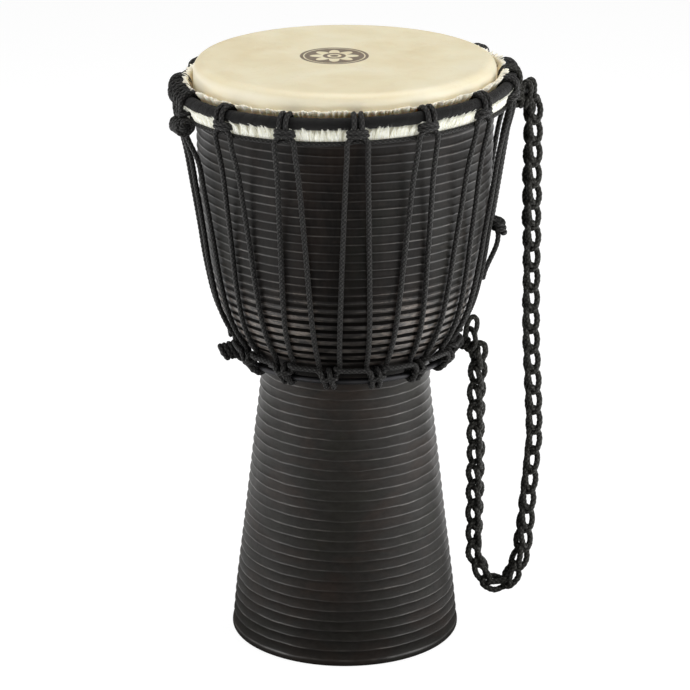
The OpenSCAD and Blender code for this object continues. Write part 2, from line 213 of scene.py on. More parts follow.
class Pile:
    """Collects grids of points, each closed round its columns, into one mesh."""

    def __init__(self):
        self.points, self.faces, self.uvs, self.count = [], [], [], 0
        self.attrs = {"lift": [], "rnd": [], "wear": []}

    def grid(self, points, wrap=False, u=None, v=None, flip=False, caps=False, **attrs):
        """Add rows x columns of points; wrap closes the rows, caps fills the first and last."""
        rows, cols = points.shape[:2]
        base = self.count
        self.points.append(points.reshape(-1, 3))
        values = {name: np.broadcast_to(np.asarray(attrs.get(name, 0.0), float), (rows, cols))
                  for name in self.attrs}
        for name, value in values.items():
            self.attrs[name].append(value.reshape(-1))
        i, j = np.meshgrid(np.arange(rows if wrap else rows - 1), np.arange(cols), indexing="ij")
        i, j = i.ravel(), j.ravel()
        corners = ((i, j), (i, j + 1), (i + 1, j + 1), (i + 1, j))
        quads = np.stack([base + a % rows * cols + b % cols for a, b in corners], 1)
        u = np.linspace(0, 1, rows + 1) if u is None else np.append(u, 2 * u[-1] - u[-2])
        v = np.linspace(0, 1, cols + 1) if v is None else np.append(v, 2 * v[-1] - v[-2])
        uvs = np.stack([np.stack([u[a], v[b]], 1) for a, b in corners], 1)
        if flip:
            quads, uvs = quads[:, ::-1], uvs[:, ::-1]
        self.faces.append(quads)
        self.uvs.append(uvs.reshape(-1, 2))
        self.count += rows * cols
        for row in (0, rows - 1) if caps else ():
            self.points.append(points[row].mean(0)[None])
            for name, value in values.items():
                self.attrs[name].append(np.array([value[row].mean()]))
            rim = base + row * cols + np.arange(cols)
            following = np.roll(rim, -1)
            ends = (following, rim) if row == 0 else (rim, following)
            fan = np.stack([np.full(cols, self.count), *ends], 1)
            self.faces.append(fan[:, ::-1] if flip else fan)
            fan_uvs = np.zeros((cols * 3, 2))
            fan_uvs[:, 0] = u[row]
            self.uvs.append(fan_uvs)
            self.count += 1

    def make(self, name, material, rides=None, replaces=(), hung=False):
        points = np.vstack(self.points)
        if hung:
            points = hang(points)
        mesh = bpy.data.meshes.new(name)
        faces = [face for block in self.faces for face in block.tolist()]
        mesh.from_pydata((points * 0.001).tolist(), [], faces)
        mesh.update()
        mesh.polygons.foreach_set("use_smooth", np.ones(len(mesh.polygons), bool))
        layer = mesh.uv_layers.new(name="UVMap")
        layer.data.foreach_set("uv", np.vstack(self.uvs).astype(np.float32).ravel())
        for key, values in self.attrs.items():
            attribute = mesh.attributes.new(key, "FLOAT", "POINT")
            attribute.data.foreach_set("value", np.concatenate(values).astype(np.float32))
        mesh.materials.append(material)
        obj = bpy.data.objects.new(name, mesh)
        bpy.context.scene.collection.objects.link(obj)
        if rides:
            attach(obj, rides)
        if replaces:
            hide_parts(*replaces)
        return obj


def tube(pile, points, radius=ROPE_R, sides=16, step=0.85, cells=4, cell_len=4.0, relief=0.40,
         closed=False, rnd=0.5):
    """Braided rope through points: two crossing sets of strands make a field of small pillows."""
    curve, length = smooth(points, step, closed)
    travel = np.linspace(0, length, len(curve), endpoint=not closed)
    if closed:
        cell_len = length / max(1, round(length / cell_len))
    normals, binormals = frames(curve, closed)
    theta = full_turn(sides)
    turn = (theta / TAU * cells)[None]
    run = (travel / cell_len)[:, None]
    rising, falling = turn + run, turn - run
    parity = (np.floor(rising) + np.floor(falling)) % 2
    rise, fall = np.abs(np.sin(np.pi * rising)), np.abs(np.sin(np.pi * falling))
    lift = np.where(parity < 1, rise ** 0.9 * fall ** 0.35, rise ** 0.35 * fall ** 0.9)
    reach = radius - relief * (1 - lift)
    if not closed:
        # round off both ends
        near_end = np.clip(np.minimum(travel, length - travel) / (radius * 0.8), 0, 1)
        reach = reach * np.sqrt(np.clip(1 - (1 - near_end) ** 2, 0.09, 1))[:, None]
    theta_col = theta[None, :, None]
    skin_points = curve[:, None] + reach[..., None] * (
        np.cos(theta_col) * normals[:, None] + np.sin(theta_col) * binormals[:, None])
    pile.grid(skin_points, wrap=closed, u=travel / 10.0, v=theta / TAU, lift=lift, rnd=rnd,
              caps=not closed)


# ---------------------------------------------------------------- procedural materials
class Mat:
    """A node material; textures lie in object space (metres) unless given another vector."""

    def __init__(self, name):
        self.material = bpy.data.materials.new(name)
        self.material.use_nodes = True
        self.tree = self.material.node_tree
        self.shader = self.tree.nodes["Principled BSDF"]
        self.object = self.node("ShaderNodeTexCoord").outputs["Object"]

    def node(self, kind, inputs=None, **props):
        node = self.tree.nodes.new(kind)
        for key, value in props.items():
            setattr(node, key, value)
        for key, value in (inputs or {}).items():
            self.plug(node.inputs[key], value)
        return node

    def plug(self, socket, value):
        if isinstance(value, bpy.types.NodeSocket):
            self.tree.links.new(value, socket)
        else:
            socket.default_value = value

    def set(self, **inputs):
        for key, value in inputs.items():
            self.plug(self.shader.inputs[key.replace("_", " ")], value)

    def math(self, operation, a, b=0.0):
        return self.node("ShaderNodeMath", {0: a, 1: b, 2: 0.0}, operation=operation).outputs[0]

    def mul(self, product, *factors):
        for factor in factors:
            product = self.math("MULTIPLY", product, factor)
        return product

    def add(self, a, b):
        return self.math("ADD", a, b)

    def mix(self, amount, under, over):
        """Lay the colour over on the colour under."""
        node = self.node("ShaderNodeMix", {0: amount}, data_type="RGBA")
        for i, color in ((6, under), (7, over)):
            is_socket = isinstance(color, bpy.types.NodeSocket)
            self.plug(node.inputs[i], color if is_socket else (*color, 1.0))
        return node.outputs[2]

    def mapped(self, vector, stretch, shift=(0, 0, 0)):
        return self.node("ShaderNodeMapping", {"Vector": vector, "Scale": stretch,
                                               "Location": shift}).outputs[0]

    def uv(self, stretch):
        return self.mapped(self.node("ShaderNodeTexCoord").outputs["UV"], stretch)

    def noise(self, scale, detail=3.0, rough=0.55, warp=0.0, stretch=None, shift=(0, 0, 0)):
        vector = self.mapped(self.object, stretch, shift) if stretch else self.object
        return self.node("ShaderNodeTexNoise", {
            "Vector": vector, "Scale": scale, "Detail": detail, "Roughness": rough,
            "Distortion": warp}).outputs["Fac"]

    def wave(self, vector, direction, inputs):
        return self.node("ShaderNodeTexWave", {"Vector": vector, "Scale": 1.0, **inputs},
                         wave_type="BANDS", bands_direction=direction).outputs["Fac"]

    def ramp(self, value, stops):
        """A colour ramp of (position, colour) stops."""
        node = self.node("ShaderNodeValToRGB", {"Fac": value})
        elements = node.color_ramp.elements
        for i, (position, color) in enumerate(stops):
            stop = elements[i] if i < 2 else elements.new(position)
            stop.position = position
            stop.color = (*color, 1.0)
        return node.outputs["Color"]

    def span(self, value, over, to=(0.0, 1.0)):
        """Map the range over onto the range to, clamped."""
        return self.node("ShaderNodeMapRange", {0: value, 1: over[0], 2: over[1], 3: to[0],
                                                4: to[1]}, clamp=True).outputs[0]

    def coords(self):
        """The x, y and z sockets of the object position."""
        return self.node("ShaderNodeSeparateXYZ", {0: self.object}).outputs

    def attr(self, name):
        return self.node("ShaderNodeAttribute", attribute_name=name).outputs["Fac"]

    def bump(self, height, strength, dist, normal=None):
        inputs = {"Height": height, "Strength": strength, "Distance": dist}
        if normal is not None:
            inputs["Normal"] = normal
        return self.node("ShaderNodeBump", inputs).outputs[0]


def wood():
    """Black-stained carved wood: near-black flutes with painted shade in the low grooves, worn
    crests partly painted as highlights, smears of varnish, fine grain.
    """
    mat = Mat("wood_black_stained")
    crest, wear = mat.attr("lift"), mat.attr("wear")
    smear = mat.noise(scale=26, detail=4, rough=0.6, warp=0.6, stretch=(1, 1, 0.32))
    fine = mat.noise(scale=240, rough=0.6, stretch=(1, 1, 0.22))
    streak = mat.noise(scale=70, rough=0.62, stretch=(1, 1, 5.0))
    hue = mat.noise(scale=9, detail=4, rough=0.6, warp=0.8, stretch=(1, 1, 0.8), shift=(5, 8, 1))
    height = mat.coords()[2]
    across = mat.math("ABSOLUTE", mat.coords()[0])
    # painted highlight: crest lines are painted brighter away from the middle
    painted_side_highlight = mat.span(across, over=(0.014, 0.034))

    # the stain: red-brown and green-grey clouds, then light specks of grain
    col = mat.ramp(smear, [(0.3, (0.0036, 0.0032, 0.0029)), (0.72, (0.0110, 0.0092, 0.0080))])
    col = mat.mix(mat.span(hue, over=(0.52, 0.70), to=(0.0, 0.6)), col, (0.0190, 0.0120, 0.0090))
    col = mat.mix(mat.span(hue, over=(0.46, 0.30), to=(0.0, 0.6)), col, (0.0085, 0.0095, 0.0072))
    col = mat.mix(mat.span(fine, over=(0.4, 0.75), to=(0.0, 0.4)), col, (0.022, 0.018, 0.015))

    # the foot, below the waist, is greyer
    foot = mat.span(height, over=(0.262, 0.235))
    cloudy = mat.noise(scale=15, detail=4, rough=0.6, warp=0.6, stretch=(1, 1, 1.6),
                       shift=(1, 9, 4))
    grey = mat.ramp(cloudy, [(0.30, (0.0270, 0.0265, 0.0215)), (0.50, (0.0290, 0.0270, 0.0245)),
                             (0.66, (0.0370, 0.0290, 0.0245))])
    mottle = mat.noise(scale=120, detail=4, rough=0.65, stretch=(1, 1, 2.2))
    mottle = mat.span(mottle, over=(0.3, 0.7), to=(0.55, 0.95))
    col = mat.mix(mat.mul(foot, mottle), col, grey)

    # bare wood along the crests, broken into dashes: partly wear and partly a painted highlight,
    # painted stronger away from the middle where the side lights catch them
    gap = mat.noise(scale=30, detail=4, rough=0.65, stretch=(1, 1, 6.0), shift=(2, 7, 5))
    edge = mat.mul(mat.math("POWER", crest, 1.3),
                   mat.span(streak, over=(0.38, 0.60), to=(0.10, 1.0)),
                   mat.add(0.42, mat.mul(painted_side_highlight, 0.58)),
                   mat.span(wear, over=(0.15, 0.95), to=(0.15, 1.0)),
                   mat.span(gap, over=(0.44, 0.59), to=(0.05, 1.0)))
    col = mat.mix(edge, col, (0.250, 0.226, 0.202))

    # the low part of the bowl: brown patches; pale scuffs, partly wear and partly a painted
    # highlight kept to the sides; and painted shade blackening the grooves
    low = mat.mul(mat.span(height, over=(0.350, 0.305)), mat.span(height, over=(0.258, 0.268)))
    patch = mat.noise(scale=38, detail=4, rough=0.65, stretch=(1, 1, 2.4), shift=(3, 1, 2))
    patch = mat.span(patch, over=(0.60, 0.74))
    col = mat.mix(mat.mul(patch, 0.35), col, (0.040, 0.030, 0.024))
    scuff_and_painted_highlight = mat.noise(scale=95, detail=5, rough=0.7, stretch=(0.8, 0.8, 3.4), shift=(9, 1, 4))
    grit = mat.noise(scale=430, detail=4, rough=0.7, stretch=(0.5, 0.5, 2.0), shift=(6, 3, 8))
    scuff_and_painted_highlight = mat.mul(mat.span(scuff_and_painted_highlight, over=(0.42, 0.58)), low,
                    mat.span(across, over=(0.016, 0.032), to=(0.05, 1.0)),
                    mat.span(grit, over=(0.40, 0.60), to=(0.30, 1.25)),
                    mat.span(crest, over=(0.0, 0.55), to=(0.12, 1.0)),
                    mat.span(hue, over=(0.35, 0.60), to=(0.35, 0.95)))
    col = mat.mix(scuff_and_painted_highlight, col, (0.245, 0.200, 0.168))
    # painted shade: the grooves of the low bowl are painted near black
    painted_groove_shade = mat.mul(low, mat.span(crest, over=(0.0, 0.5), to=(0.85, 0.0)))
    col = mat.mix(painted_groove_shade, col, (0.0022, 0.0020, 0.0018))

    rough = mat.math("SUBTRACT", mat.span(smear, over=(0.3, 0.7), to=(0.56, 0.44)),
                     mat.mul(crest, 0.12))
    grain = mat.add(mat.mul(fine, 0.5), mat.mul(streak, 0.55))
    normal = mat.bump(grain, strength=0.35, dist=0.0006)
    dents = mat.noise(scale=16, rough=0.5, stretch=(1, 1, 0.5))
    normal = mat.bump(dents, strength=0.25, dist=0.004, normal=normal)
    # highlights: weak near the middle and in the low part, strong on the crests
    shine = mat.add(mat.span(low, over=(0.0, 1.0), to=(0.15, 0.03)), mat.mul(crest, 0.55))
    shine = mat.mul(mat.span(across, over=(0.010, 0.045), to=(0.55, 1.0)), shine)
    mat.set(Base_Color=col, Roughness=rough, Normal=normal, Coat_Weight=mat.mul(crest, 0.35),
            Coat_Roughness=0.25, Specular_IOR_Level=shine)
    return mat.material


def roundel(mat, col):
    """The playing head: painted paler towards the rim as painted light, with a plain printed
    roundel.
    """
    center_x, center_y = -0.0087, 0.0055   # metres; the roundel's own sizes are in mm
    axes = mat.coords()
    x = mat.mul(mat.add(axes[0], -center_x), 1000.0)
    y = mat.mul(mat.math("SUBTRACT", axes[1], center_y), 1000.0)
    dist = mat.math("SQRT", mat.add(mat.mul(x, x), mat.mul(y, y)))
    angle = mat.math("ARCTAN2", y, x)
    far = mat.math("SQRT", mat.add(mat.math("POWER", axes[0], 2.0),
                                   mat.math("POWER", axes[1], 2.0)))
    # painted light: towards the rim and over the rounded edge, which lies in shade, the skin is
    # painted paler
    col = mat.mix(mat.span(far, over=(0.100, 0.122), to=(0.0, 0.12)), col, (0.88, 0.75, 0.53))
    col = mat.mix(mat.span(far, over=(0.1218, 0.1243), to=(0.0, 0.75)), col, (0.97, 0.90, 0.72))

    def hoop(inner, outer):
        return mat.mul(mat.span(dist, over=inner), mat.span(dist, over=outer, to=(1.0, 0.0)))

    # left open in the inked disc: a thin band, eight plain leaves and a small ring
    band = hoop(inner=(24.3, 24.7), outer=(25.3, 25.7))
    petal = mat.math("ABSOLUTE", mat.math("COSINE", mat.mul(angle, 4.0)))
    reach = mat.add(mat.mul(petal, 9.0), 11.0)
    leaf = mat.mul(mat.span(mat.math("SUBTRACT", reach, dist), over=(-0.3, 0.3)),
                   mat.span(dist, over=(9.2, 9.8)))
    ring = hoop(inner=(3.2, 3.6), outer=(5.6, 6.0))
    bare = mat.math("MAXIMUM", mat.math("MAXIMUM", band, leaf), ring)
    ink = mat.mul(mat.span(dist, over=(27.9, 28.5), to=(1.0, 0.0)),
                  mat.math("SUBTRACT", 1.0, bare),
                  mat.span(mat.noise(scale=420, rough=0.6), over=(0.28, 0.5), to=(0.80, 0.93)))
    return mat.mix(ink, col, (0.155, 0.118, 0.090))


def frill_light_and_shade(mat, col):
    """The folded skin: its cut edge is pale, partly its own tone and partly painted light; the
    folds below it are darker with painted shade.
    """
    lift = mat.attr("lift")
    col = mat.mix(mat.span(lift, over=(0.0, 0.5), to=(0.24, 0.0)), col, (0.62, 0.48, 0.29))
    lift = mat.attr("lift")
    return mat.mix(mat.span(lift, over=(0.35, 0.75), to=(0.0, 0.90)), col, (0.93, 0.89, 0.76))


def skin(name, print_and_painted_shading):
    """Goatskin: cream and tan clouds, pores and faint veins, then the print, painted light and
    painted shade that the last argument adds.
    """
    mat = Mat(name)
    cloud = mat.noise(scale=11, detail=4, warp=0.5, stretch=(1, 1, 1))
    blotch = mat.noise(scale=34, detail=4, rough=0.6, warp=0.3, stretch=(1, 1, 1),
                       shift=(1, 4, 2))
    pores = mat.noise(scale=900, detail=2, rough=0.5)
    wave = mat.noise(scale=18, detail=5, rough=0.62, warp=1.2, stretch=(1, 1, 1), shift=(7, 2, 9))
    vein = mat.math("ABSOLUTE", mat.math("SUBTRACT", wave, 0.5))
    cream = (0.80, 0.735, 0.55)
    col = mat.ramp(cloud, [(0.30, (0.700, 0.585, 0.375)), (0.52, (0.765, 0.675, 0.465)),
                           (0.72, cream)])
    col = mat.mix(mat.span(blotch, over=(0.45, 0.72), to=(0, 0.45)), col, cream)
    col = mat.mix(mat.span(pores, over=(0.60, 0.74), to=(0, 0.16)), col, (0.55, 0.40, 0.22))
    col = mat.mix(mat.span(vein, over=(0.0, 0.012), to=(0.16, 0.0)), col, (0.62, 0.46, 0.27))
    normal = mat.bump(pores, strength=0.10, dist=0.0004)
    normal = mat.bump(blotch, strength=0.12, dist=0.003, normal=normal)
    rough = mat.span(blotch, over=(0.3, 0.7), to=(0.42, 0.56))
    mat.set(Base_Color=print_and_painted_shading(mat, col), Roughness=rough, Normal=normal,
            Subsurface_Weight=0.10, Subsurface_Scale=0.004, Subsurface_Radius=(1.0, 0.6, 0.35))
    return mat.material


def rope(name, dark, light, rough):
    """Braided rope: light pillows, a painted highlight, with dark between them, fine parallel
    yarns, some fuzz.
    """
    mat = Mat(name)
    lift, rnd = mat.attr("lift"), mat.attr("rnd")
    yarn = mat.wave(mat.uv(stretch=(9.0, 30.0, 1)), "DIAGONAL",
                    {"Distortion": 1.2, "Detail": 2.0, "Detail Scale": 2.0})
    blotch = mat.noise(scale=60, rough=0.6)
    fuzz = mat.noise(scale=1500, detail=2, rough=0.6)
    # painted highlight: the tops of the braid's pillows are painted light
    tone = mat.mul(mat.math("POWER", mat.span(lift, over=(0.45, 1.0)), 1.3),
                   mat.span(blotch, over=(0.3, 0.7), to=(0.55, 1.0)))
    col = mat.mix(tone, dark, light)
    col = mat.mix(mat.span(yarn, over=(0.2, 0.9), to=(0.0, 0.25)), col,
                  tuple(min(1, c * 1.9) for c in light))
    col = mat.mix(mat.mul(rnd, 0.25), col, tuple(c * 0.5 for c in dark))
    relief = mat.add(mat.mul(yarn, 0.7), mat.mul(fuzz, 0.5))
    mat.set(Base_Color=col, Normal=mat.bump(relief, strength=0.45, dist=0.00035),
            Roughness=mat.span(fuzz, over=(0.3, 0.7), to=(rough - 0.08, rough + 0.1)),
            Sheen_Weight=0.03, Sheen_Roughness=0.5,
            Specular_IOR_Level=mat.span(lift, over=(0.3, 1.0), to=(0.06, 0.42)))
    return mat.material


def cloth():
    """Black cotton tape: a fine plain weave, dusty sheen and darker overlaps."""
    mat = Mat("tape_black_cotton")
    threads = mat.uv(stretch=(60.0, 60.0, 1))
    weave = mat.math("MAXIMUM", *(mat.wave(threads, way, {"Distortion": 0.3}) for way in "XY"))
    dust = mat.noise(scale=45, detail=4, rough=0.6)
    col = mat.ramp(dust, [(0.3, (0.0016, 0.0015, 0.0014)), (0.75, (0.0048, 0.0044, 0.0040))])
    col = mat.mix(mat.span(weave, over=(0.5, 1.0), to=(0, 0.30)), col, (0.0130, 0.0118, 0.0102))
    overlap = mat.span(mat.attr("lift"), over=(0.0, 0.25), to=(0.65, 0.0))
    col = mat.mix(overlap, col, (0.003, 0.003, 0.003))
    normal = mat.bump(weave, strength=0.35, dist=0.0003)
    creases = mat.noise(scale=120, rough=0.6)
    normal = mat.bump(creases, strength=0.3, dist=0.0012, normal=normal)
    mat.set(Base_Color=col, Roughness=mat.span(dust, over=(0.3, 0.7), to=(0.78, 0.66)),
            Normal=normal, Sheen_Weight=0.06, Sheen_Roughness=0.6, Specular_IOR_Level=0.14)
    return mat.material


def hair():
    """White goat hair, each strand its own tone, darker at the root, with a faint painted glow."""
    mat = Mat("hair_goat_white")
    rnd, lift = mat.attr("rnd"), mat.attr("lift")
    col = mat.ramp(rnd, [(0.0, (0.62, 0.60, 0.48)), (0.30, (0.86, 0.86, 0.76)),
                         (1.0, (0.97, 0.97, 0.91))])
    col = mat.mix(mat.span(lift, over=(0.0, 0.25), to=(0.20, 0.0)), col, (0.60, 0.55, 0.42))
    fibre = mat.noise(scale=2600, detail=2, rough=0.5, stretch=(1, 1, 0.2))
    # painted light: the hair glows faintly to look brighter than the lamps make it
    mat.set(Base_Color=col, Normal=mat.bump(fibre, strength=0.3, dist=0.0003),
            Roughness=mat.span(mat.noise(scale=700), over=(0.3, 0.7), to=(0.45, 0.62)),
            Sheen_Weight=0.2, Emission_Color=col, Emission_Strength=0.21)
    return mat.material


def steel(name, base, rough):
    """Cloudy steel with brown specks."""
    mat = Mat(name)
    fine = mat.noise(scale=420, detail=4, rough=0.6, stretch=(1, 1, 3))
    cloud = mat.noise(scale=60, detail=4, rough=0.6)
    col = mat.ramp(cloud, [(0.3, tuple(c * 0.7 for c in base)), (0.7, base)])
    col = mat.mix(mat.span(fine, over=(0.62, 0.72), to=(0, 0.4)), col, (0.16, 0.08, 0.05))
    mat.set(Base_Color=col, Metallic=0.9, Normal=mat.bump(fine, strength=0.2, dist=0.0004),
            Roughness=mat.span(fine, over=(0.3, 0.7), to=(rough - 0.08, rough + 0.12)))
    return mat.material


WOOD = wood()
HEAD_SKIN = skin("skin_goat_head", roundel)
FOLD_SKIN = skin("skin_goat_fold", frill_light_and_shade)
LACE = rope("rope_lacing_black", dark=(0.0010, 0.0010, 0.0010), light=(0.0560, 0.0540, 0.0510),
            rough=0.50)
STRAP = rope("rope_strap_black", dark=(0.0011, 0.0011, 0.0011), light=(0.0640, 0.0620, 0.0520),
             rough=0.46)
CLOTH = cloth()
HAIR = hair()
BLACK_STEEL = steel("steel_black", base=(0.045, 0.045, 0.048), rough=0.45)
BARE_STEEL = steel("steel_bare", base=(0.42, 0.42, 0.43), rough=0.35)


def paint_bottom_ring():
    """The bottom ring keeps its CAD mesh and only takes a material."""
    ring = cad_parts["bottom_ring"]
    if not ring.material_slots:
        ring.data.materials.append(BLACK_STEEL)
    for slot in ring.material_slots:
        slot.material = BLACK_STEEL


# ---------------------------------------------------------------- shell
# (height, radius over the crests), foot to top
OUTLINE = np.array([
    [0, 97.6], [40, 93.7], [110, 85.1], [180, 77], [222, 72.3], [236, 73.2], [248, 76],
    [256, 80.7], [264, 87.9], [272, 94.4], [284, 100.8], [300, 106.8], [330, 113.2],
    [360, 117.7], [390, 120.7], [420, 122.2], [500, SHELL_R]], float)
SLOPES = np.zeros(len(OUTLINE))
SLOPES[1:-1] = (OUTLINE[2:, 1] - OUTLINE[:-2, 1]) / (OUTLINE[2:, 0] - OUTLINE[:-2, 0])
SLOPES[0] = (OUTLINE[1, 1] - OUTLINE[0, 1]) / (OUTLINE[1, 0] - OUTLINE[0, 0])


def outline(z):
    """Outer radius over the crests at height z, by cubic Hermite pieces."""
    z = np.asarray(z, float)
    i = np.clip(np.searchsorted(OUTLINE[:, 0], z, side="right") - 1, 0, len(OUTLINE) - 2)
    gap = OUTLINE[i + 1, 0] - OUTLINE[i, 0]
    t = (z - OUTLINE[i, 0]) / gap
    return ((2 * t ** 3 - 3 * t ** 2 + 1) * OUTLINE[i, 1]
            + (t ** 3 - 2 * t ** 2 + t) * SLOPES[i] * gap
            + (3 * t ** 2 - 2 * t ** 3) * OUTLINE[i + 1, 1]
            + (t ** 3 - t ** 2) * SLOPES[i + 1] * gap)


def bore(z):
    """Inner radius at height z: narrowest at the waist, wider above and below."""
    waist_r, waist_z = 52, 222
    up = waist_r + 57 * np.sin(np.radians(90 * np.clip((z - waist_z) / 190, 0, 1))) ** 0.8
    down = waist_r + 32 * np.clip((waist_z - z) / waist_z, 0, 1) ** 1.35
    return np.where(z > waist_z, up, down)


def carve(theta, base, pitch, count, stations, seed, narrow):
    """Rows of (height, depth, crest) over count grooves, following each hand-cut line.

    stations are fractions of the pitch; narrow(z) runs from 0, wide scoops between thin
    ridges, to 1, narrow grooves between wide ridges.
    """
    lines = [wobble(seed + k, [2, 3, 5, 9, 14, 21], 0.075)(theta) for k in range(count + 1)]
    deep = [1 + wobble(seed * 7 + k, [3, 4, 7, 11, 17, 23], 0.30)(theta) for k in range(count)]
    nicks = [wobble(seed * 11 + k, [5, 8, 13, 19, 31], 1.0)(theta) for k in range(count + 1)]
    rows = []
    for k in range(count):
        for t in stations:
            height = base + (k + t + (1 - t) * lines[k] + t * lines[k + 1]) * pitch
            share = narrow(base + (k + t) * pitch)
            to_edge = min(t, 1 - t)
            scoop = 1 - abs(2 * t - 1) ** 3.2
            groove = min(1.0, math.exp(-((t - 0.5) / 0.165) ** 2)
                         + 0.22 * (1 - abs(math.cos(math.pi * t))))
            depth = ((1 - share) * 0.85 * scoop + share * groove) * deep[k] * 1.12
            nick = (1 - t) * nicks[k] + t * nicks[k + 1]
            depth = depth + max(0.0, 1 - to_edge / 0.10) * (0.10 + 0.14 * np.maximum(nick, 0))
            thin = max(0.0, 1 - to_edge / 0.105)
            wide = min(1.0, max(0.0, (abs(t - 0.5) - 0.195) / 0.06)) * 0.9
            crest = ((1 - share) * thin + share * wide) * (0.75 - 0.25 * nick)
            rows.append((height, depth, crest))
    return rows


def make_shell():
    cols = 176
    theta = full_turn(cols)

    def plain(stations):
        return [[np.full(cols, float(v)) for v in (z, depth, 0)] for z, depth in stations]

    rows = plain(((0.0, 1.2), (0.3, 0.55), (0.9, 0.15), (2.0, 0.0), (3.6, 0.0)))
    rows += carve(theta, base=5.0, pitch=8.6, count=28, seed=10, narrow=lambda z: 0.0,
                  stations=(0, .045, .10, .18, .33, .5, .67, .82, .90, .955))
    rows += plain((z, 0) for z in np.arange(247.2, 265, 2.3))
    rows += carve(theta, base=266.3, pitch=7.35, count=26, seed=60,
                  narrow=lambda z: ease(345 - z, 0, 55),
                  stations=(0, .045, .13, .19, .235, .31, .41, .5, .59, .69, .765, .81, .87,
                            .955))
    rows += plain((z, 0) for z in np.arange(459.0, 489, 3.6))
    z, depth, crest = (np.array(column) for column in zip(*rows))
    # shallow tool facets along each ridge, and a barely uneven hand-carved wall, always inward
    facet = 0.09 * (1 + wobble(5, [29, 37, 43], 1.0)(theta + 0.013 * z)) * (crest > 0.02)
    wall = 0.14 * (1 + wobble(9, [2, 3, 5, 8], 1.0)(theta + 0.004 * z))
    radius = outline(np.clip(z, 1.2, 500)) - depth - facet - wall
    wear = 0.5 + 0.5 * wobble(3, [1, 3, 4, 6, 9, 13], 1.0)(theta + 0.02 * z)
    wear = np.clip(wear + 0.35 * np.clip((335 - z) / 60, 0, 1) * (z > 262), 0, 1)

    # the rim turns in over a wide outer rounding and a small inner one
    outer_round, inner_round = 8.2, 3
    outer, inner = np.radians([15, 30, 45, 60, 75, 90]), np.radians([0, 20, 40, 60, 80])
    rim_r = np.r_[SHELL_R - 0.25, SHELL_R - 0.2 - outer_round * (1 - np.cos(outer)),
                  SHELL_R - 14 + inner_round * (1 - np.sin(inner))]
    rim_z = np.r_[490.6, SHELL_TOP - outer_round * (1 - np.sin(outer)),
                  SHELL_TOP - inner_round * (1 - np.cos(inner))]
    # inside, near-vertical gouges cut up to half a millimetre into the wall
    bore_z = np.array([
        493, 484, 470, 455, 440, 425, 410, 395, 380, 366, 352, 338, 324, 310, 297, 284, 272, 261,
        251, 243, 236, 230, 225, 218, 208, 195, 180, 163, 145, 126, 106, 86, 66, 48, 32, 18, 8,
        2.5, 0.6])[:, None]
    gouges = 0.25 * (1 + np.sin(31 * theta + 0.05 * bore_z + 2 * np.sin(3 * theta)))
    points = np.concatenate([around(theta, radius, z),
                             around(theta, rim_r[:, None], rim_z[:, None]),
                             around(theta, bore(bore_z) + gouges, bore_z),
                             around(theta, 85.5, 0.0)[None]])
    unmarked = ((0, len(points) - len(z)), (0, 0))
    pile = Pile()
    pile.grid(points, wrap=True, lift=np.pad(crest, unmarked), wear=np.pad(wear, unmarked))
    pile.make("shell_carved", WOOD, rides="drum", replaces=["shell"])


def ease(t, start, end):
    share = min(1.0, max(0.0, (t - start) / (end - start)))
    return share * share * (3 - 2 * share)


# ---------------------------------------------------------------- head, folded skin and frill
def make_head():
    top, round_r, thick = 500.0, 9.0, 0.88
    outer_r = 123.95
    inner_r, inner_round = outer_r - thick, round_r - 0.9

    def bend(radius, rounding, degrees):
        return [(radius - rounding + rounding * math.cos(a), top - round_r + rounding * math.sin(a))
                for a in np.radians(degrees)]

    # (radius, height): out over the top and down the outside, then back up and in underneath
    outside = [(r, top) for r in (1.5, 6, 12, 20, 28, 36, 44, 52, 60, 68, 76, 84, 92, 99, 105,
                                  110, 113)]
    outside += bend(outer_r, round_r, [90, 76, 62, 48, 34, 20, 8, 0])
    outside += [(outer_r, z) for z in (489.5, 487.5, 485, 482, 479, 476, 473.5, 471.4)]
    inside = [(inner_r, z) for z in (471.4, 475, 480, 485, 489)]
    inside += bend(inner_r, inner_round, [0, 20, 40, 60, 80, 90])
    inside += [(r, top - thick) for r in (113, 108, 100, 85, 70, 50, 30, 12, 1.5)]
    profile = np.array(outside + inside)
    radius, z = profile[:, :1], profile[:, 1:]
    is_outside = np.arange(len(profile))[:, None] < len(outside)
    # pull lines where the skin bends over the rim, all inward
    theta = full_turn(240)
    pull = 0.5 * (1 + wobble(21, [15, 31, 47, 62, 90], 1.0)(theta))
    edge = np.exp(-((z - 494.5) / 4.0) ** 2) * (radius > 118)
    radius = radius - 0.16 * edge * pull * is_outside
    z = z - 0.10 * np.exp(-((radius - 119) / 3.5) ** 2) * pull * (z > 499.5)
    pile = Pile()
    pile.grid(around(theta, radius, z), flip=True, caps=True)
    pile.make("head_skin", HEAD_SKIN, rides="drum", replaces=["drumhead"])


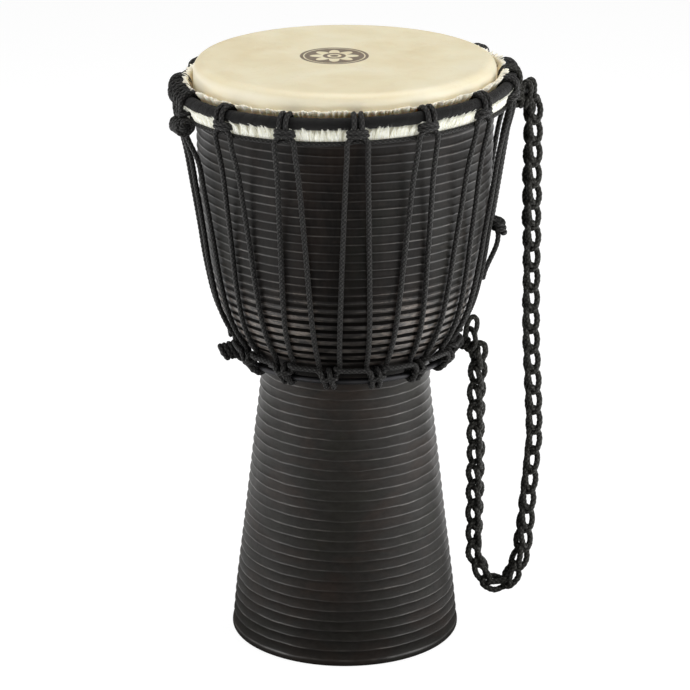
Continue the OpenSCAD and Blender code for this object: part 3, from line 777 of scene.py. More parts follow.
# The skin from the flesh ring up its outer face, over the frill and down its inner face:
# radius, its shares of pleat, ripple and swing; height, its share of ragged; lift, for painted
# light and shade
FRILL = [
    (FLESH_R + 3.3, 0, 0, 0, FLESH_Z + 2.4, 0, 0),
    (FLESH_R + 1.5, 0, 0, 0, FLESH_Z + 4.6, 0, 0),
    (126.3, 0.25, 0, 0, 478.0, 0, 0),
    (126.7, 0.5, 0.2, 0, 482.5, 0, 0),
    (127.7, 1.1, 0.35, 0.3, 485.4, 0, 0.30),
    (129.2, 2.2, 0.8, 0.5, 487.7, 0.3, 0.75),
    (130.5, 3.0, 1.1, 0.6, 490.1, 0.8, 1.0),
    (130.8, 3.2, 1.2, 0.6, 491.1, 1.05, 1.1),
    (130.1, 3.2, 1.2, 0.6, 491.3, 1.05, 1.1),
    (129.5, 3.0, 1.1, 0.6, 490.3, 0.8, 1.0),
    (128.2, 2.1, 0.8, 0.5, 487.8, 0.3, 0.65),
    (126.6, 1.0, 0.3, 0.3, 485.4, 0, 0.05),
    (125.2, 0.3, 0, 0, 482.5, 0, 0),
    (124.6, 0.1, 0, 0, 479.0, 0, 0),
    (124.35, 0, 0, 0, 474.5, 0, 0),
]


def make_tuck():
    theta = full_turn(1900)
    rng = np.random.default_rng(31)
    # gathers: uneven pleats, each a few millimetres wide
    count = 158
    cuts = np.cumsum(rng.uniform(0.35, 1.75, count) * (1 + 0.3 * np.sin(np.arange(count) / 5.0)))
    knots = np.concatenate([[0], cuts / cuts[-1] * TAU])
    phase = np.interp(theta, knots, np.arange(count + 1) * TAU)
    knot_amps = rng.uniform(0.10, 1.0, count + 1)
    knot_amps[-1] = knot_amps[0]
    amp = np.interp(theta, knots, knot_amps)
    pleat = np.cos(phase) * amp
    ripple = 0.7 * np.cos(2.0 * phase + 1.3 + 2.0 * wobble(16, [5, 9, 14], 1.0)(theta))
    ripple = ripple * (1.1 - amp)
    tops = rng.uniform(-1, 1, count)
    ragged = (np.interp(theta, knots, np.r_[tops, tops[0]]) + 0.9 * pleat
              + wobble(12, [3, 5, 8, 13], 0.5)(theta) + wobble(21, [233, 271, 313], 0.35)(theta))
    swing = wobble(14, [4, 7, 11, 19, 33], 1.5)(theta)
    # from the top of the flesh ring round its inside and underneath to its outside
    hug = 3.85
    rows = [(FLESH_R + hug * np.cos(a), FLESH_Z + hug * np.sin(a), 0)
            for a in np.radians(np.arange(100, 361, 20))]
    rows += [(r + by_pleat * pleat + by_ripple * ripple + by_swing * swing,
              z + by_ragged * ragged, lift)
             for r, by_pleat, by_ripple, by_swing, z, by_ragged, lift in FRILL]
    clear_r = 124.12  # keeps the fold outside the head skin
    points = np.array([around(theta, np.maximum(r, clear_r), z) for r, z, _ in rows])
    lift = np.array([row[2] for row in rows])[:, None]
    pile = Pile()
    # painted shade: the hollows of the pleats take less lift and are painted darker
    pile.grid(points, wrap=True, lift=lift * (0.72 + 0.28 * pleat[None]))
    pile.make("skin_fold_frill", FOLD_SKIN, rides="crown", replaces=["skin_tuck"],
              hung=True)


# ---------------------------------------------------------------- goat hair
# the matted base: radius, height, unevenness
MAT_RINGS = [(132.4, 466.0, 0.3), (133.2, 465.4, 0.4), (133.9, 466.4, 0.5), (134.2, 469.0, 0.55),
             (134.2, 472.0, 0.5), (133.9, 476.0, 0.4), (133.2, 478.2, 0.2), (132.4, 477.0, 0.1),
             (132.7, 470.0, 0.0)]


def add_strand(pile, rng, az, lean, tip):
    """One three-sided hair of the tuft at az."""
    root_u = rng.uniform(-2.3, 2.3)
    tip_u = root_u * rng.uniform(0.1, 0.9) + lean + rng.normal(0, 0.25)
    tip_z = tip - abs(root_u) * rng.uniform(0.5, 1.3) + rng.normal(0, 0.5)
    root_z = rng.uniform(464.8, 468.6)
    if rng.random() < 0.12:
        tip_u += rng.normal(0, 2.2)   # a stray
    out = rng.uniform(-0.25, 0.75)
    over = max(0.0, tip_z - 477.0)
    rise = tip_z - root_z
    line = np.array([local(az, root_u, 133.5 + 0.5 * out, root_z),
                     local(az, root_u * 0.8 + tip_u * 0.15, 134.7 + out, root_z + 0.35 * rise),
                     local(az, root_u * 0.45 + tip_u * 0.55, 136.0 + out, root_z + 0.72 * rise),
                     local(az, tip_u, 137.3 + 0.95 * over + 0.5 * out, tip_z)])
    radii = rng.uniform(0.24, 0.42) * np.array([1.0, 0.95, 0.7, 0.12])
    a = np.radians(az)
    side = np.array([np.cos(a), np.sin(a), 0.0])
    outward = np.array([np.sin(a), -np.cos(a), 0.0])
    corner = np.radians([90, 210, 330])[None, :, None]
    section = np.cos(corner) * side + np.sin(corner) * outward
    pile.grid(line[:, None] + radii[:, None, None] * section, caps=True, rnd=rng.random(),
              lift=np.array([0.1, 0.5, 0.8, 1.0])[:, None])


def make_hair():
    rng = np.random.default_rng(77)
    pile = Pile()
    # a matted base behind the loose hair
    theta = full_turn(900)
    rows = []
    for radius, z, uneven in MAT_RINGS:
        shift = wobble(int(z * 10), [61, 97, 143, 211, 173], uneven)(theta)
        rows.append(around(theta, radius + shift, z + 0.3 * shift))
    pile.grid(np.array(rows), wrap=True, lift=0.03)
    # loose strands in tufts that lean either way and end over the lower edge of the ring
    tufts, strands = 205, 34
    lean_of = wobble(4, [4, 7, 9], 1.0)
    for az in (np.arange(tufts) + rng.uniform(-0.3, 0.3, tufts)) / tufts * 360:
        lean = 3.0 * lean_of(np.radians(az)) + rng.uniform(-0.9, 0.9)
        tip = 480.0 + rng.uniform(-2.0, 1.2)
        for _ in range(strands):
            add_strand(pile, rng, az, lean, tip)
    pile.make("hair_fringe", HAIR, rides="crown", replaces=["goat_hair_fringe"],
              hung=True)


# ---------------------------------------------------------------- crown ring
def make_ring_cloth():
    """Overlapping turns of cloth tape round the crown ring."""
    turns = 70
    along, section = full_turn(1150), full_turn(30)
    theta, phi = np.meshgrid(along, section, indexing="ij")
    wound = theta / TAU * turns - phi / TAU
    number = np.floor(wound)
    t = wound - number                # across one turn of tape
    loose = np.random.default_rng(8).uniform(0.0, 0.22, turns + 3)
    height = 0.34 * t ** 0.8
    height = np.where(t > 0.97, height * (1 - (t - 0.97) / 0.03), height)
    fold = (0.06 * np.sin(6 * phi + 3 * np.sin(2 * TAU * wound / 3.0))
            + 0.05 * np.sin(5 * TAU * wound + 2.1 * phi))
    slack = loose[(number % turns).astype(int)] * 0.35 * np.sin(np.pi * t)
    minor = np.minimum(4.63 + height + slack + fold, WRAP_R + 0.02)
    pile = Pile()
    pile.grid(torus(theta, phi, CROWN_R, CROWN_Z, minor), wrap=True, flip=True,
              u=along / TAU * 424, v=section / TAU * 16, lift=np.clip(t / 0.12, 0, 1))
    pile.make("ring_tape", CLOTH, rides="crown", replaces=["crown_ring_wrap"],
              hung=True)


def make_rods():
    """The round steel rods inside the tape and the skin, each closed by a ground weld."""
    theta, phi = np.meshgrid(full_turn(420), full_turn(20), indexing="ij")
    for name, node, radius, z, rod in (
            ("rod_crown", "crown_ring_rod", CROWN_R, CROWN_Z, CROWN_ROD),
            ("rod_flesh", "flesh_ring", FLESH_R, FLESH_Z, FLESH_ROD)):
        weld = 0.10 * np.exp(-((theta - math.pi) / 0.016) ** 2)
        minor = rod - 0.12 + weld + 0.02 * np.sin(3 * phi + 9 * theta)
        pile = Pile()
        pile.grid(torus(theta, phi, radius, z, minor), wrap=True, flip=True, lift=0.5)
        pile.make(name, BARE_STEEL, rides="crown", replaces=[node], hung=True)


# ---------------------------------------------------------------- lacing
# Paths near a ring are (along, outward, up) from the ring's centre line.
# The crown cord between hitches: behind a leg, up in a low arch, and on behind the next leg.
CROWN_RUN = [(-14, 0.1, -17.5), (-9, 0.2, -17.3), (-5.5, 0.9, -16.6), (-2.6, 1.4, -15.9),
             (0, 1.6, -15.6), (2.6, 1.4, -15.9), (5.5, 0.9, -16.6), (9, 0.2, -17.3),
             (14, 0.1, -17.5)]


def top_lash(az, rng):
    """Two turns over the ring, drawn together by a collar of two more turns just under it."""
    coil, gap = COIL_TOP - 0.3, 2.8

    def jit(reach):
        return rng.uniform(-reach, reach)

    one, two = jit(0.5), jit(0.5)
    return near(az, CROWN, [
        (-1.0, -1.6, -12.0), (-2.6, -4.6, -8.0), (-gap, -coil, -1.0),
        (-gap, -.7 * coil, .7 * coil), (-gap + .2 * one, 0, coil),
        (-gap + .4 * one, .72 * coil, .7 * coil), (-gap + .7 * one, coil, 0.1),
        (-gap + one + .2, 6.3, -4.2), (-1.9, 3.6, -8.4), (-.7, 2.6, -11.6),
        (.7, 2.6, -11.6), (1.9, 3.6, -8.4), (gap + two - .2, 6.3, -4.2),
        (gap + .7 * two, coil, 0.1), (gap + .4 * two, .72 * coil, .7 * coil),
        (gap + .2 * two, 0, coil), (gap, -.7 * coil, .7 * coil), (gap, -coil, -1.0),
        (2.8, -4.8, -7.6), (5.0, -1.8, -7.8), (6.6 + jit(.3), 3.0, -6.4), (5.2, 6.6, -5.2),
        (0, 8.4, -4.6 + jit(.3)), (-5.2, 6.8, -4.9), (-6.8 + jit(.3), 3.0, -6.2),
        (-5.0, -1.2, -8.4), (0, -2.6, -10.0), (5.2, -.6, -10.2), (7.2 + jit(.3), 3.4, -9.4),
        (5.4, 6.7, -8.5), (0, 8.1, -8.1 + jit(.4)), (-5.6, 6.6, -8.6), (-7.2, 3.2, -9.6),
        (-5.2, -.4, -11.2), (-1.0, -2.2, -12.4)])


def low_hitch(az, rng):
    """The cord runs outside the lacing, dips round the ring, hooks a bend and comes out again."""
    coil = COIL_LOW + 0.05
    dip_one, dip_two = rng.uniform(-.4, .4), rng.uniform(-.4, .4)
    return near(az, BOTTOM, [
        (-15, 10.9, 12.6), (-10, 11.1, 12.4), (-7.0, 11.4, 10.6 + dip_one), (-5.0, 10.8, 6.0),
        (-3.7, 7.8, 1.8), (-3.2, coil + .2, -1.2), (-3, .62 * coil, -.8 * coil),
        (-3, -.1 * coil, -coil), (-2.8, -.76 * coil, -.66 * coil), (-2.6, -coil, 0),
        (-2.4, -.8 * coil, .6 * coil), (-2.0, -2.0, 5.4), (-1.4, 1.2, 9.0), (-.8, 3.6, 11.2),
        (0.0, 6.8, 12.0), (.6, 9.9, 10.4), (1.3, 11.2, 6.8 + dip_two), (2.2, 9.0, 2.2),
        (3.0, coil + .3, -.9), (3, .66 * coil, -.76 * coil), (3, -.1 * coil, -coil),
        (3.1, -.76 * coil, -.66 * coil), (3.3, -coil, 0), (3.5, -.8 * coil, .6 * coil),
        (3.9, -1.8, 5.4), (4.4, 2.0, 9.4), (5.2, 6.6, 13.2), (7.4, 10.4, 13.6),
        (10.2, 11.2, 12.9), (15, 10.9, 12.6)])


LIFT_Z = 360.0  # above this height the legs leave the shell
LEG_Z = [432, 395, LIFT_Z, 338, 318, 303, 292, 283, 275]


def leg_r(z):
    """Radius of a leg's centre line at height z."""
    return float(outline(min(z, LIFT_Z))) + ROPE_R + 0.25 + max(0.0, z - LIFT_Z) * 0.158


def leg(az, side):
    """From the arch at az down to the next lower bend, on the given side."""
    top_az = az + side * np.degrees(ARCH_U / ARCH_R)
    low_az = az + side * (STEP / 2 - np.degrees(BEND_U / BEND_R))
    top = ARCH_Z - 6
    return ([polar(top_az, ARCH_R, ARCH_Z), polar(top_az, ARCH_R - 0.9, top)]
            + [polar(top_az + (low_az - top_az) * (top - z) / (top - 270), leg_r(z), z)
               for z in LEG_Z]
            + [polar(low_az, BEND_R, BEND_Z)])


def half_loop(az, reach, radius, z, way):
    """The rounding of an arch (way 1) or of a lower bend (way -1)."""
    return [local(az, reach * math.cos(a), radius, z + way * reach * math.sin(a))
            for a in np.radians([150, 120, 90, 60, 30])]


def arch(az):
    return half_loop(az, ARCH_U, ARCH_R, ARCH_Z, 1)


def bend(az):
    return half_loop(az, BEND_U, BEND_R, BEND_Z, -1)


TOP_AZ = [FIRST_TOP + k * STEP for k in range(1, TIES)]
LOW_AZ = [FIRST_LOW + k * STEP for k in range(1, TIES)]


def make_crown_cord(rng):
    points = near(FIRST_TOP, CROWN, [(15.5, 0.1, -17.5)])
    for az in TOP_AZ:
        points += near(az, CROWN, CROWN_RUN)
    points += near(FIRST_TOP + 360, CROWN, [(-15.5, 0.1, -17.5)])
    pile = Pile()
    tube(pile, points)
    for az in TOP_AZ:
        tube(pile, top_lash(az, rng), ROPE_R - 0.05, step=0.8, rnd=rng.uniform(0.2, 0.8))
    pile.make("lace_crown_cord", LACE, rides="crown",
              replaces=["upper_cradle_cord"], hung=True)


def make_foot_cord(rng):
    points = near(FIRST_LOW, BOTTOM, [(9, 9.5, 12.6)])
    for az in LOW_AZ:
        points += low_hitch(az, rng)
    points += near(FIRST_LOW + 360, BOTTOM, [(-9, 9.5, 12.6)])
    pile = Pile()
    tube(pile, points)
    # a closed turn round each hitch
    for az in LOW_AZ:
        phase, up = rng.uniform(-0.6, 0.6), rng.uniform(4.2, 5.6)
        collar = [(0.2 + 5.6 * math.cos(t), 8.4 + 3.6 * math.sin(t), up + math.cos(t + phase))
                  for t in full_turn(12)]
        tube(pile, near(az, BOTTOM, collar), ROPE_R - 0.1, closed=True,
             rnd=rng.uniform(0.2, 0.8))
    pile.make("lace_foot_cord", LACE, rides="drum",
              replaces=["lower_cradle_cord"])


def make_legs():
    """The long rope up and down, in two lengths that meet in a lower bend on the +X side."""
    last = FIRST_TOP + 360
    runs = [[local(FIRST_TOP, 2.4, CROWN_R + 5.0, 459), local(FIRST_TOP, 4.6, CROWN_R + 2.6, 450)]
            + leg(FIRST_TOP, 1)[2:] + bend(FIRST_TOP + STEP / 2)]
    for az in TOP_AZ:
        runs.append(leg(az, -1)[::-1] + arch(az) + leg(az, 1) + bend(az + STEP / 2))
    runs.append(leg(last, -1)[2:][::-1] + [local(FIRST_TOP, -4.6, CROWN_R + 2.6, 450),
                                           local(FIRST_TOP, -2.4, CROWN_R + 5.0, 459)])
    front_runs = 7
    front, back = sum(runs[:front_runs], []), sum(runs[front_runs:], [])
    for name, points in (("lace_legs_front", front), ("lace_legs_back", [front[-1]] + back)):
        pile = Pile()
        tube(pile, points, step=0.9)
        legs = pile.make(name, LACE, hung=True)
        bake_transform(legs)
        if name == "lace_legs_front":
            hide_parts("tension_rope")


def make_lacing():
    rng = np.random.default_rng(3)
    make_crown_cord(rng)
    make_foot_cord(rng)
    make_legs()


# ---------------------------------------------------------------- knots
def rot_y(degrees):
    c, s = math.cos(math.radians(degrees)), math.sin(math.radians(degrees))
    return np.array([[c, 0, s], [0, 1, 0], [-s, 0, c]])


def rot_z(degrees):
    c, s = math.cos(math.radians(degrees)), math.sin(math.radians(degrees))
    return np.array([[c, -s, 0], [s, c, 0], [0, 0, 1]])


def barrel(pile, az, out, z, turns, radius, pitch, skew, tilt, spin=0, rope_r=2.4):
    """Rope turns round their own core, centred at azimuth az, radius out and height z.

    The axis points outward, then is turned by spin about Z and by tilt about the tangent.
    """
    turned = rot_z(az - 90) @ rot_y(tilt) @ rot_z(spin)

    def place(points):
        return np.asarray(points, float) @ turned.T + polar(az, out, z)

    half = (turns - 1) * pitch / 2
    a = np.linspace(-0.35 * TAU, (turns - 1 + 0.35) * TAU, turns * 9 + 4)
    x = np.clip(-half + a / TAU * pitch, -half - 0.6, half + 0.6)
    wound_r = radius + 0.2 * np.sin(3 * a)
    coil = np.stack([x + skew * rope_r * np.sin(a), wound_r * np.cos(a), wound_r * np.sin(a)], 1)
    # both ends tuck in towards the core
    tuck, start, end = 0.55 * radius, a[0] - 0.7, a[-1] + 0.7
    coil = np.vstack([[[-half - 1.4, tuck * math.cos(start), tuck * math.sin(start)]], coil,
                      [[half + 1.4, tuck * math.cos(end), tuck * math.sin(end)]]])
    tube(pile, place(coil), rope_r, step=0.8, rnd=0.2)
    reach = half + rope_r + 0.6
    core = [[-reach, 0, 0], [-half / 2, 0.2, 0], [half / 2, -0.2, 0.1], [reach, 0, 0]]
    tube(pile, place(core), max(radius - 0.4, rope_r), 20, 0.9, cells=8, rnd=0.8)


def ring_loop(u, coil, start, end):
    """Offsets of part of a turn round a ring, between two angles in degrees."""
    return [(u + 0.15 * math.sin(t * 2), coil * math.cos(t), coil * math.sin(t))
            for t in np.radians(np.linspace(start, end, 9))]


def make_crown_knot():
    """Where the lacing is tied off on the crown ring."""
    az, coil = FIRST_TOP, COIL_TOP - 0.2
    pile = Pile()
    for side in (-1, 1):
        u = 3 * side
        tube(pile, near(az, CROWN, [(u * 0.9, 6.0, -19), (u * 0.95, 8.2, -12)]
                        + ring_loop(u, coil, -14, 194)
                        + [(u + side * 0.4, -6.4, -5.5), (u + side * 2.0, -1.2, -11),
                           (u + side * 7.0, 0.1, -16.2), (side * 15.5, 0.1, -18)]))
    barrel(pile, az, CROWN_R + 6.5, CROWN_Z - 20.5, turns=5, radius=6.2, pitch=4.3, skew=0.5,
           tilt=-18, spin=90)
    # the collar under the ring that gathers the two turns
    tube(pile, near(az, CROWN, [(6.4 * math.cos(t), 4.0 + 5.0 * math.sin(t),
                                 -9.4 + 0.6 * math.cos(t)) for t in full_turn(10)]), closed=True)
    # the rest of the rope's end is wound on the ring between this knot and the next hitch
    turns = 4
    wound = []
    for t in np.linspace(-0.35, turns * TAU + 0.2, turns * 11):
        turn_az = az - 4.6 - 15.0 * t / (turns * TAU) + 0.8 * math.sin(0.45 * t)
        reach = coil + 0.25 * math.sin(1.7 * t)
        wound.append(polar(turn_az + 0.5 * math.sin(t), CROWN_R + reach * math.cos(t),
                           CROWN_Z + reach * math.sin(t)))
    tube(pile, wound)
    pile.make("lace_crown_knot", LACE, rides="crown",
              replaces=["upper_tie_knot"], hung=True)


def make_foot_knot():
    """Where the lower cord is tied off."""
    pile = Pile()
    for side in (-1, 1):
        u = 3 * side
        tube(pile, near(FIRST_LOW, BOTTOM, [(u, 13, -0.4), (u, 8.4, -1.6)]
                        + ring_loop(u, COIL_LOW - 0.1, -20, -200)
                        + [(u + side * 1.0, -2.6, 6.4), (u + side * 4.0, 2.4, 11.5),
                           (side * 11, 4.2, 15.2)]))
    barrel(pile, FIRST_LOW, BOTTOM_R + 10.6, BOTTOM_Z + 3.0, turns=4, radius=5.6, pitch=4.1,
           skew=0.4, tilt=14)
    pile.make("lace_foot_knot", LACE, rides="drum", replaces=["lower_tie_knot"])


def make_spare_end():
    """The rope's spare end, hanging beside the strap, and its knot."""
    az = 86.5
    pile = Pile()
    tube(pile, [polar(az + 3.5, CROWN_R + 0.4, CROWN_Z - 17.5),
                polar(az + 1.5, CROWN_R + 0.5, CROWN_Z - 19.5)]
         + [polar(az + 0.5 * math.sin(z / 9.0), leg_r(z) + 0.6, z)
            for z in (452, 438, 420, 400, 380, 367)])
    pile.make("lace_tail", LACE, rides="crown", replaces=["tail_rope"],
              hung=True)
    pile = Pile()
    barrel(pile, az, leg_r(360) + 7.2, 359.5, turns=3, radius=4.1, pitch=4.4, skew=0.7, tilt=80)
    # the loose end: azimuth offset, height for the leg radius, distance outside it, height
    loose = [(0, 360, 6.0, 356.5), (-0.6, 352, 8.0, 351), (-0.8, 345, 8.0, 344),
             (-0.3, 336, 6.6, 336), (0.3, 327, 4.4, 327), (0.2, 319, 2.8, 319),
             (-0.3, 312, 2.6, 312)]
    tube(pile, [polar(az + turn, leg_r(at) + out, z) for turn, at, out, z in loose])
    pile.make("lace_tail_knot", LACE, rides="crown", replaces=["tail_knot"])


# ---------------------------------------------------------------- strap
LOOP_W, LOOP_S = 5.25, 12.75          # gap between links, and length of a link
STRAP_X, STRAP_Z = 132.2, 35.6        # middle of the bottom of the strap


def heading_of(link, side):
    """Direction of a link in the XZ plane; side is 1 for the outer strand, -1 for the inner."""
    if link == 1:
        lean = 56
    elif link == 2:
        lean = 86
    elif side > 0:
        lean = 86 if link < 9 else 93 if link < 14 else 90.4
    else:
        lean = 90
    lean = math.radians(lean)
    return np.array([side * math.cos(lean), 0, math.sin(lean)])


def chain(side, count):
    """Middles of a strand's links, from the bottom up, and the point it hangs from."""
    middles = []
    heading = heading_of(1, side)
    start = np.array([STRAP_X + side * LOOP_S / 2, 0, STRAP_Z]) + LOOP_W * heading
    for link in range(1, count + 1):
        end = start + LOOP_S * heading
        middles.append((start + end) / 2)
        last, heading = heading, heading_of(link + 1, side)
        start = end + LOOP_W * (heading if link % 2 == 0 else last)
    return middles, end + LOOP_W * last


OUTER, OUT_HOOK = chain(1, 24)
INNER, IN_HOOK = chain(-1, 12)
STITCH = 18.0
# one chain stitch: across, along, and through the strap (before scaling)
CELL = [(-1.2, -2, -1), (-2.35, 0, 0), (-3.2, 4.6, 1), (-5.0, 11, .65), (-3.9, 18.9, .05),
        (0, 22.0, -.1), (3.9, 18.9, .05), (5.0, 11, .65), (3.2, 4.6, 1), (2.35, 0, 0),
        (1.5, -1, -1), (.8, 8, -1.05), (-.5, 15, -1.05)]
CELL_WIDTH, CELL_DEPTH = 1.19, 3.15   # scale of the first and last columns
CUT_Z = 160.0                         # the strap is cut into lengths at this height


def make_strap():
    # one line down the outer strand, round the bottom, and up the inner strand
    drop = np.array([0, 0, -1.0])
    line = [OUT_HOOK + drop, *OUTER[::-1]]
    line += [np.array([STRAP_X + x, 0, STRAP_Z + z]) for x, z in ((9.5, 1.0), (0, -1.2),
                                                                  (-9.5, 1.0))]
    line += [*INNER, IN_HOOK + drop]
    curve, length = smooth(line, 1.0)
    count = max(1, int(round(length / STITCH)))
    pitch = length / count
    travel = np.linspace(0, length, len(curve))
    tangents = tangents_of(curve)

    def at(t):
        """Centre, direction, and the across and through axes of the strap at travel t."""
        t = np.clip(t, 0, length)
        center, along = (np.array([np.interp(t, travel, rows[:, k]) for k in range(3)])
                         for rows in (curve, tangents))
        along /= np.linalg.norm(along)
        # the flat side rolls a little further along each strand
        turned = ease(t, 165, 245) * (1 - ease(t, 365, 415))
        roll = math.radians(12 + 20 * math.sin(t / 62.0 - 0.4) + 12 * math.sin(t / 24.0 + 1.0)
                            + 44 * turned)
        level = square_to(np.array([0.0, 1.0, 0.0]), along)
        across = math.cos(roll) * np.cross(level, along) + math.sin(roll) * level
        return center, along, across, np.cross(along, across)

    rng = np.random.default_rng(19)
    points = []
    for i in range(count):
        jit_x, jit_z = rng.uniform(-0.25, 0.25), rng.uniform(-0.15, 0.15)
        for x, y, z in CELL:
            t = min(i * pitch + y * pitch / STITCH, length + 2.0)
            center, along, across, through = at(t)
            points.append(center + along * max(0.0, t - length)
                          + across * (x * CELL_WIDTH + jit_x) + through * (z * CELL_DEPTH + jit_z))

    # one smooth path for the whole rope, so that the three lengths meet exactly
    path, _ = smooth(points, 0.8)
    places, start = [], 0   # index on the path nearest each point
    for point in points:
        window = path[start:start + 140]
        start += int(np.argmin(np.linalg.norm(window - point, axis=1)))
        places.append(start)
    places.append(len(path) - 1)
    low = int(np.argmin(curve[:, 2]))
    cuts = (np.argmax(curve[:low, 2] < CUT_Z), low + np.argmax(curve[low:, 2] > CUT_Z))
    down, up = (int(round(travel[cut] / pitch)) * len(CELL) for cut in cuts)
    top_blend = ("strap_top", "strap_mid", 0.235, 0.199)
    low_blend = ("strap_mid", "strap_end", 0.127, 0.091)
    for name, first, last, (upper, lower, start_z, end_z), *nodes in (
            ("strap_outer_chain", 0, down, top_blend, "strap_outer_upper", "strap_outer_middle"),
            ("strap_low_chain", down, up, low_blend, "strap_bottom"),
            ("strap_inner_chain", up, len(points), top_blend, "strap_inner_upper",
             "strap_inner_middle")):
        pile = Pile()
        tube(pile, path[places[first]:places[last] + 1], 2.7, step=0.8, cell_len=4.2,
             relief=0.48)
        strand = pile.make(name, STRAP)
        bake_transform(strand)
        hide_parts(*nodes)


def wound_turn(u, advance, coil, start, end, count):
    """Offsets of a turn round a ring that advances along it."""
    return [(u + advance * (t / TAU - 0.5), coil * math.cos(t), coil * math.sin(t))
            for t in np.linspace(start, end, count)]


def make_crown_tie():
    """Lashing on the crown ring with its barrel and the loop that carries the chain."""
    lash_z = CROWN_Z + 1.8
    pile = Pile()
    lash = [(-3.6, 12, -20), (-5.2, 7.6, -15), (-5.6, 7.6, -7)]
    for u in (-4.8, 0, 4.8):
        lash += wound_turn(u, 1.6, COIL_TOP - 0.15, 0.15, TAU - 0.15, 12)
    lash += [(5.6, 8.2, -4), (5.4, 8.6, -12), (3.6, 12, -18)]
    tube(pile, near(90, (CROWN_R, lash_z), lash))
    # two turns gather the lashing under the ring: drop, half width, half depth
    for drop, wide, deep in ((-11.4, 8.0, 5.6), (-15.8, 8.4, 6.0)):
        tube(pile, [[CROWN_R + 4.6 + deep * math.sin(t), wide * math.cos(t),
                     lash_z + drop + 0.7 * math.sin(t + drop)] for t in full_turn(12)],
             closed=True)
    barrel(pile, 90, CROWN_R + 11.6, CROWN_Z - 19.4, turns=3, radius=4.1, pitch=4.2, skew=0.4,
           tilt=10, rope_r=2.35)
    # two bights stand up out of the knot, side by side, and turn over into the chain
    hook = OUT_HOOK[0]
    for y, x in ((-3.4, 148.2), (3.4, 151.6)):
        tube(pile, [[x - 4.6, 0.3 * y, 459], [x - 4.2, 0.8 * y, 466], [x - 3.4, y, 474],
                    [x - 2.0, y, 479.2], [x + 0.6, y, 480.9], [x + 3.0, 0.95 * y, 478.4],
                    [x + 3.6, 0.85 * y, 472.6], [x + 3.0, 0.8 * y, 466.5],
                    [hook + 0.6, 0.85 * y, 459.5], [hook - 1.0, 0.75 * y, 452.5]], 2.35)
    # a short filling turn in the eye of the bights
    tube(pile, [[145.6, 0, 468], [147.4, 0.4, 474.5], [150.2, 0, 475.6], [152.0, -0.4, 471],
                [151.5, 0, 464.5]], 2.2)
    pile.make("strap_crown_tie", STRAP, rides="crown",
              replaces=["strap_upper_hitch"])


def make_foot_tie():
    """Lashing of the inner strand on the bottom ring."""
    hook = IN_HOOK[0]
    pile = Pile()
    lash = []
    for u in (13, 18):
        lash += wound_turn(u, 2.0, COIL_LOW - 0.1, 0.9, TAU + 0.2, 11)
    tube(pile, near(90, BOTTOM, lash + [(16.0, 9, -0.6)])
         + [[99.0, 12.0, 247.2], [100.9, 6.0, 250.2], [101.2, 2.4, 256.5], [101.4, 0.2, 263.8],
            [102.4, -1.6, 270.4], [104.8, -2.2, 276.0], [107.8, -2.0, 277.8],
            [110.6, -1.0, 274.6], [110.8, 0.8, 268.0], [109.3, 2.2, 261.8], [110.0, 2.6, 255.0],
            [hook + 0.2, 1.4, 248.4], [hook, 0.4, 242.6]], 2.3)
    tube(pile, near(90, BOTTOM, [(13.0, 2.6, 5.2), (9.0, 8.6, 4.6)])
         + [[99.6, 3.0, 252.4], [103.2, -2.4, 248.6], [107.4, -3.6, 250.0], [109.6, -3.4, 256.4],
            [108.2, -2.0, 263.2], [105.2, 1.6, 266.2], [102.2, 3.6, 262.0], [102.4, 4.6, 254.0],
            [106.8, 3.8, 247.6], [hook - 0.4, 2.2, 244.0]], 2.3)
    tube(pile, [[100.9 + 3.4 * math.cos(t), 3.2 + 4.0 * math.sin(t),
                 252.6 + 1.56 * math.sin(t) + 2.4 * math.cos(t)] for t in full_turn(10)],
         2.1, closed=True)
    pile.make("strap_foot_tie", STRAP, rides="drum",
              replaces=["strap_lower_lashing"])


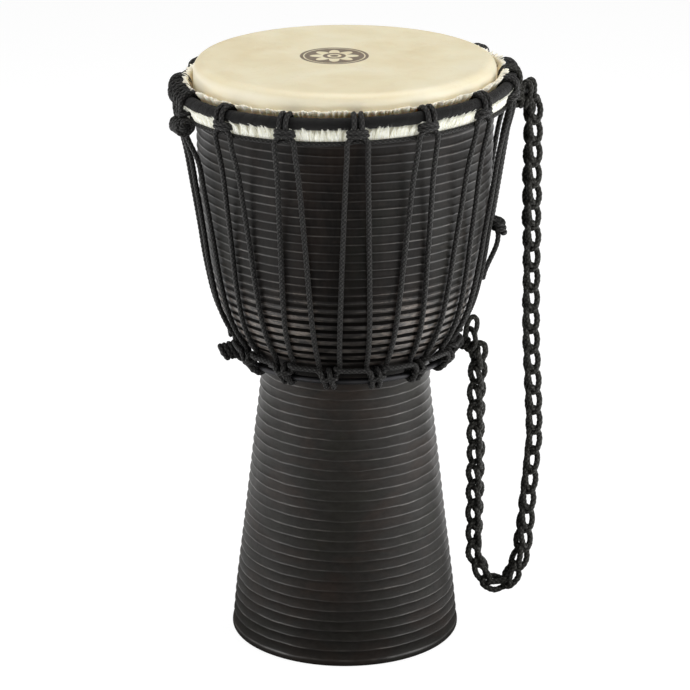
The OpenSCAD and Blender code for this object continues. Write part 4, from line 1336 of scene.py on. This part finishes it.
# ---------------------------------------------------------------- floor, light, camera (metres)
def make_floor():
    """A plain floor, white to the camera, that lights the drum from both sides."""
    half, z = 6.0, -0.0005
    mesh = bpy.data.meshes.new("floor_plain")
    mesh.from_pydata([(-half, -half, z), (half, -half, z), (half, half, z), (-half, half, z)],
                     [], [(0, 1, 2, 3)])
    floor = bpy.data.objects.new("floor_plain", mesh)
    bpy.context.scene.collection.objects.link(floor)
    mat = Mat("floor_pale")
    seen = mat.node("ShaderNodeLightPath").outputs["Is Camera Ray"]
    tone = mat.ramp(mat.noise(scale=3), [(0.3, (0.11, 0.11, 0.11)), (0.7, (0.13, 0.13, 0.13))])
    x = mat.coords()[0]
    sides = mat.add(mat.span(x, over=(0.13, 0.34), to=(0.0, 2.3)),
                    mat.span(x, over=(-0.14, -0.38), to=(0.0, 1.5)))
    glow = mat.add(mat.mul(seen, 0.90), mat.mul(mat.math("SUBTRACT", 1.0, seen), sides))
    mat.set(Base_Color=mat.mix(seen, tone, (0.20, 0.20, 0.20)), Roughness=0.85,
            Emission_Color=(1, 1, 1, 1), Emission_Strength=glow)
    mesh.materials.append(mat.material)
    floor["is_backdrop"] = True


def make_world():
    """White to the camera, dim as a light."""
    world = bpy.data.worlds.new("studio")
    bpy.context.scene.world = world
    world.use_nodes = True
    tree = world.node_tree
    background = tree.nodes["Background"]
    path = tree.nodes.new("ShaderNodeLightPath")
    mix = tree.nodes.new("ShaderNodeMix")
    mix.data_type = "FLOAT"
    tree.links.new(path.outputs["Is Camera Ray"], mix.inputs[0])
    mix.inputs[2].default_value = 0.10
    mix.inputs[3].default_value = 1.0
    background.inputs["Color"].default_value = (1, 1, 1, 1)
    tree.links.new(mix.outputs[0], background.inputs["Strength"])


def area_light(name, location, target, size, size_y, power):
    light = bpy.data.lights.new(name, "AREA")
    light.shape = "RECTANGLE"
    light.size = size
    light.size_y = size_y
    light.energy = power
    obj = bpy.data.objects.new(name, light)
    bpy.context.scene.collection.objects.link(obj)
    obj.location = location
    aim = Vector(target) - Vector(location)
    obj.rotation_euler = aim.to_track_quat("-Z", "Y").to_euler()


def make_camera():
    camera = bpy.data.cameras.new("camera")
    camera.sensor_width = 36
    camera.lens = 158.62
    obj = bpy.data.objects.new("camera", camera)
    bpy.context.scene.collection.objects.link(obj)
    obj.location = (0, -2.41595, 1.09453)
    obj.rotation_euler = (math.radians(70.771), 0, 0)
    bpy.context.scene.camera = obj


def make_stage():
    make_floor()
    make_world()
    area_light("key", (-2.0, -0.60, 1.0), target=(0, 0, 0.28), size=1.5, size_y=1.9, power=25)
    area_light("fill", (1.9, -0.75, 1.0), target=(0, 0, 0.28), size=1.8, size_y=1.9, power=31)
    area_light("top", (0.1, 0.2, 2.4), target=(0, 0, 0.4), size=1.6, size_y=1.6, power=35)
    make_camera()
    view = bpy.context.scene.view_settings
    view.view_transform = "Standard"
    view.look = "None"


paint_bottom_ring()
make_shell()
make_head()
make_tuck()
make_hair()
make_ring_cloth()
make_rods()
make_lacing()
make_crown_knot()
make_foot_knot()
make_spare_end()
make_strap()
make_crown_tie()
make_foot_tie()
make_stage()


def plain(box):
    """The bounds as plain floats, whether they are flat or nested."""
    return [[float(x) for x in c] for c in box] if hasattr(box[0], "__len__") else [
        float(x) for x in box]


bpy.context.view_layer.update()
{"cad": plain(cad_box), "visual": plain(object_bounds())}
